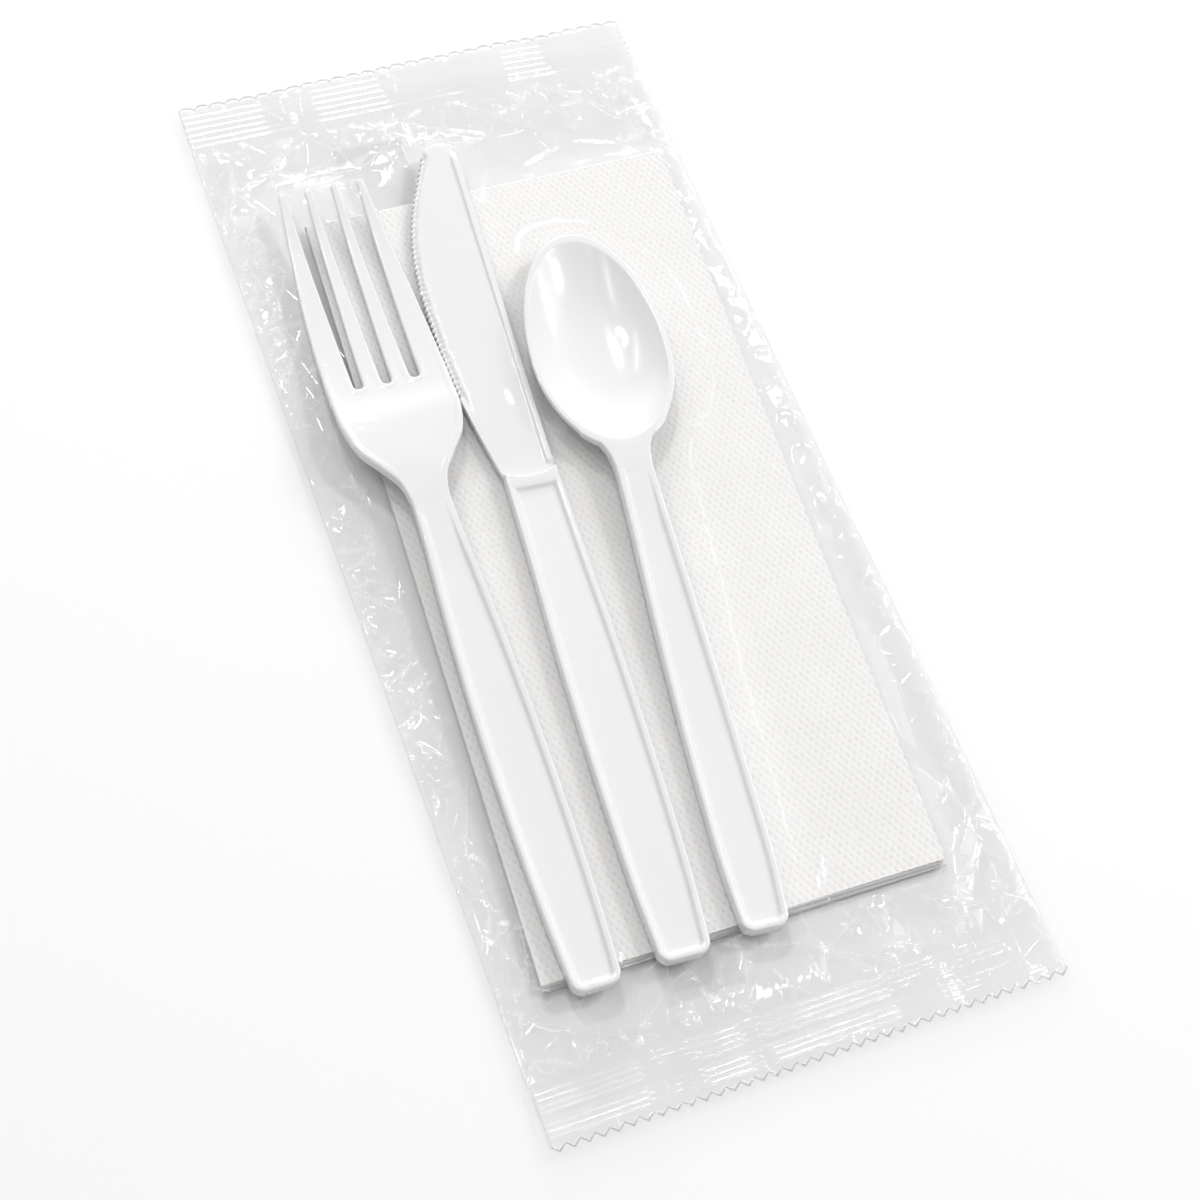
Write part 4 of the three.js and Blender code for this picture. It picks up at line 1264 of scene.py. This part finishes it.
CAMERA_AT = Vector((-113.27, -184.58, 366.59)) * MM
LOOK_AT = Vector((-4.42, -18.97, 0)) * MM
CAMERA_ROLL = math.radians(14.32)
LENS = 64.72
ROOM_BRIGHT = 0.55
ROOM_DIM = 0.2  # brightness in the direction that flat film mirrors into the lens
DIM_CONE = (math.radians(14), math.radians(32))
BACK_SLOPE = (0.12, 0.30, 0.0)  # how much brighter the room is on the right and at the back
STRIPS = 9
STRIP_AWAY = math.radians(40)  # angle of the ring of strips from that direction
STRIP_TURN = 0.3
STRIP_LOWEST = 0.15  # a strip lower than this, or further back than the next, is left out
STRIP_BACK = 0.75
# name, direction, distance, width and height (metres), radiance
SOFTBOXES = [
    ("right_key", (0.59, 0.04, 0.81), 1.2, 0.12, 0.12, 37),
    ("back_key", (-0.04, 0.51, 0.86), 1.2, 0.11, 0.11, 44),
    ("rib_light", (0.25, 0.92, 0.30), 1.2, 0.5, 0.12, 10.5),
    ("right_fill", (0.80, 0.07, 0.60), 1.3, 0.6, 0.5, 1.8),
    ("back_fill", (-0.1, 0.90, 0.42), 1.5, 1.2, 0.5, 1.0),
]
FLOOR_HALF = 1500


def towards(at, target, roll=0.0):
    """A placement at one point whose -Z axis looks at another."""
    back = (at - target).normalized()
    right = Vector((0, 0, 1)).cross(back).normalized()
    up = back.cross(right)
    turn = Matrix.Rotation(roll, 4, "Z")
    basis = Matrix((right, up, back)).transposed().to_4x4()
    return Matrix.Translation(at) @ basis @ turn


def camera():
    data = bpy.data.cameras.new("camera")
    data.sensor_width = 36
    data.lens = LENS
    data.clip_start = 0.01
    made = new_object("camera", data)
    made.matrix_world = towards(CAMERA_AT, LOOK_AT, CAMERA_ROLL)
    bpy.context.scene.camera = made


def softbox(name, direction, distance, width, height, radiance):
    """A rectangular light of the given brightness, aimed at the pack."""
    data = bpy.data.lights.new(name, "AREA")
    data.shape = "RECTANGLE"
    data.size = width
    data.size_y = height
    data.energy = 4 * width * height * radiance
    made = new_object(name, data)
    made.matrix_world = towards(Vector(direction).normalized() * distance, Vector((0, 0, 0)))


def mirrored_view():
    """The direction that film lying flat mirrors into the lens."""
    aim = (LOOK_AT - CAMERA_AT).normalized()
    return Vector((aim.x, aim.y, -aim.z))


def dot_product(tree, vector, fixed):
    node = add(tree, "VectorMath")
    node.operation = "DOT_PRODUCT"
    node.inputs[1].default_value = fixed
    tree.links.new(vector, node.inputs[0])
    return node.outputs["Value"]


def room():
    """A bright surround, dimmer where flat film would mirror it towards the lens."""
    world = bpy.data.worlds.new("studio")
    bpy.context.scene.world = world
    world.use_nodes = True
    tree = world.node_tree
    tree.nodes.clear()
    place = add(tree, "TexCoord").outputs["Generated"]
    ramp = add(tree, "MapRange", Value=dot_product(tree, place, mirrored_view()), To_Min=ROOM_BRIGHT,
               To_Max=ROOM_DIM, From_Min=math.cos(DIM_CONE[1]), From_Max=math.cos(DIM_CONE[0]))
    bright = ramp.outputs["Result"]
    slope = dot_product(tree, place, BACK_SLOPE)
    strength = math_node(tree, "MULTIPLY_ADD", slope, bright, bright)
    back = add(tree, "Background", Color=(1, 1, 1, 1), Strength=strength)
    add(tree, "OutputWorld", Surface=back.outputs[0])


def strip_ring():
    """Narrow strips set round the mirrored view, so that creases glint whichever way they run."""
    mirror = mirrored_view()
    level = mirror.cross(Vector((0, 0, 1))).normalized()
    steep = level.cross(mirror)
    for strip in range(STRIPS):
        turn = 2 * math.pi * (strip + STRIP_TURN) / STRIPS
        side = level * math.cos(turn) + steep * math.sin(turn)
        direction = mirror * math.cos(STRIP_AWAY) + side * math.sin(STRIP_AWAY)
        if direction.z > STRIP_LOWEST and direction.y < STRIP_BACK:
            softbox(f"strip_{strip}", direction, 1.2, 0.30, 0.05, 9.5)


def floor():
    corners = [(x * FLOOR_HALF, y * FLOOR_HALF, 0) for x, y in ((-1, -1), (1, -1), (1, 1), (-1, 1))]
    made = make_mesh("floor", corners, [(0, 1, 2, 3)])
    made.data.materials.append(floor_material())


def studio():
    scene = bpy.context.scene
    scene.view_settings.view_transform = "Standard"
    scene.cycles.transparent_max_bounces = 12
    scene.cycles.max_bounces = 4
    scene.cycles.diffuse_bounces = 2
    scene.cycles.glossy_bounces = 2
    scene.cycles.caustics_reflective = False
    room()
    floor()
    for settings in SOFTBOXES:
        softbox(*settings)
    strip_ring()
    camera()


# ---- the pack ----

studio()
white = [
    plastic_material("white_plastic", (0.838, 0.838, 0.845, 1), 0.17, 900, 0.000006),
    plastic_material("white_plastic_panel", (0.827, 0.827, 0.838, 1), 0.42, 2600, 0.00002),
]
fork(white)
knife(white)
spoon(white)
wrapper(film_material())
napkin(tissue_material())
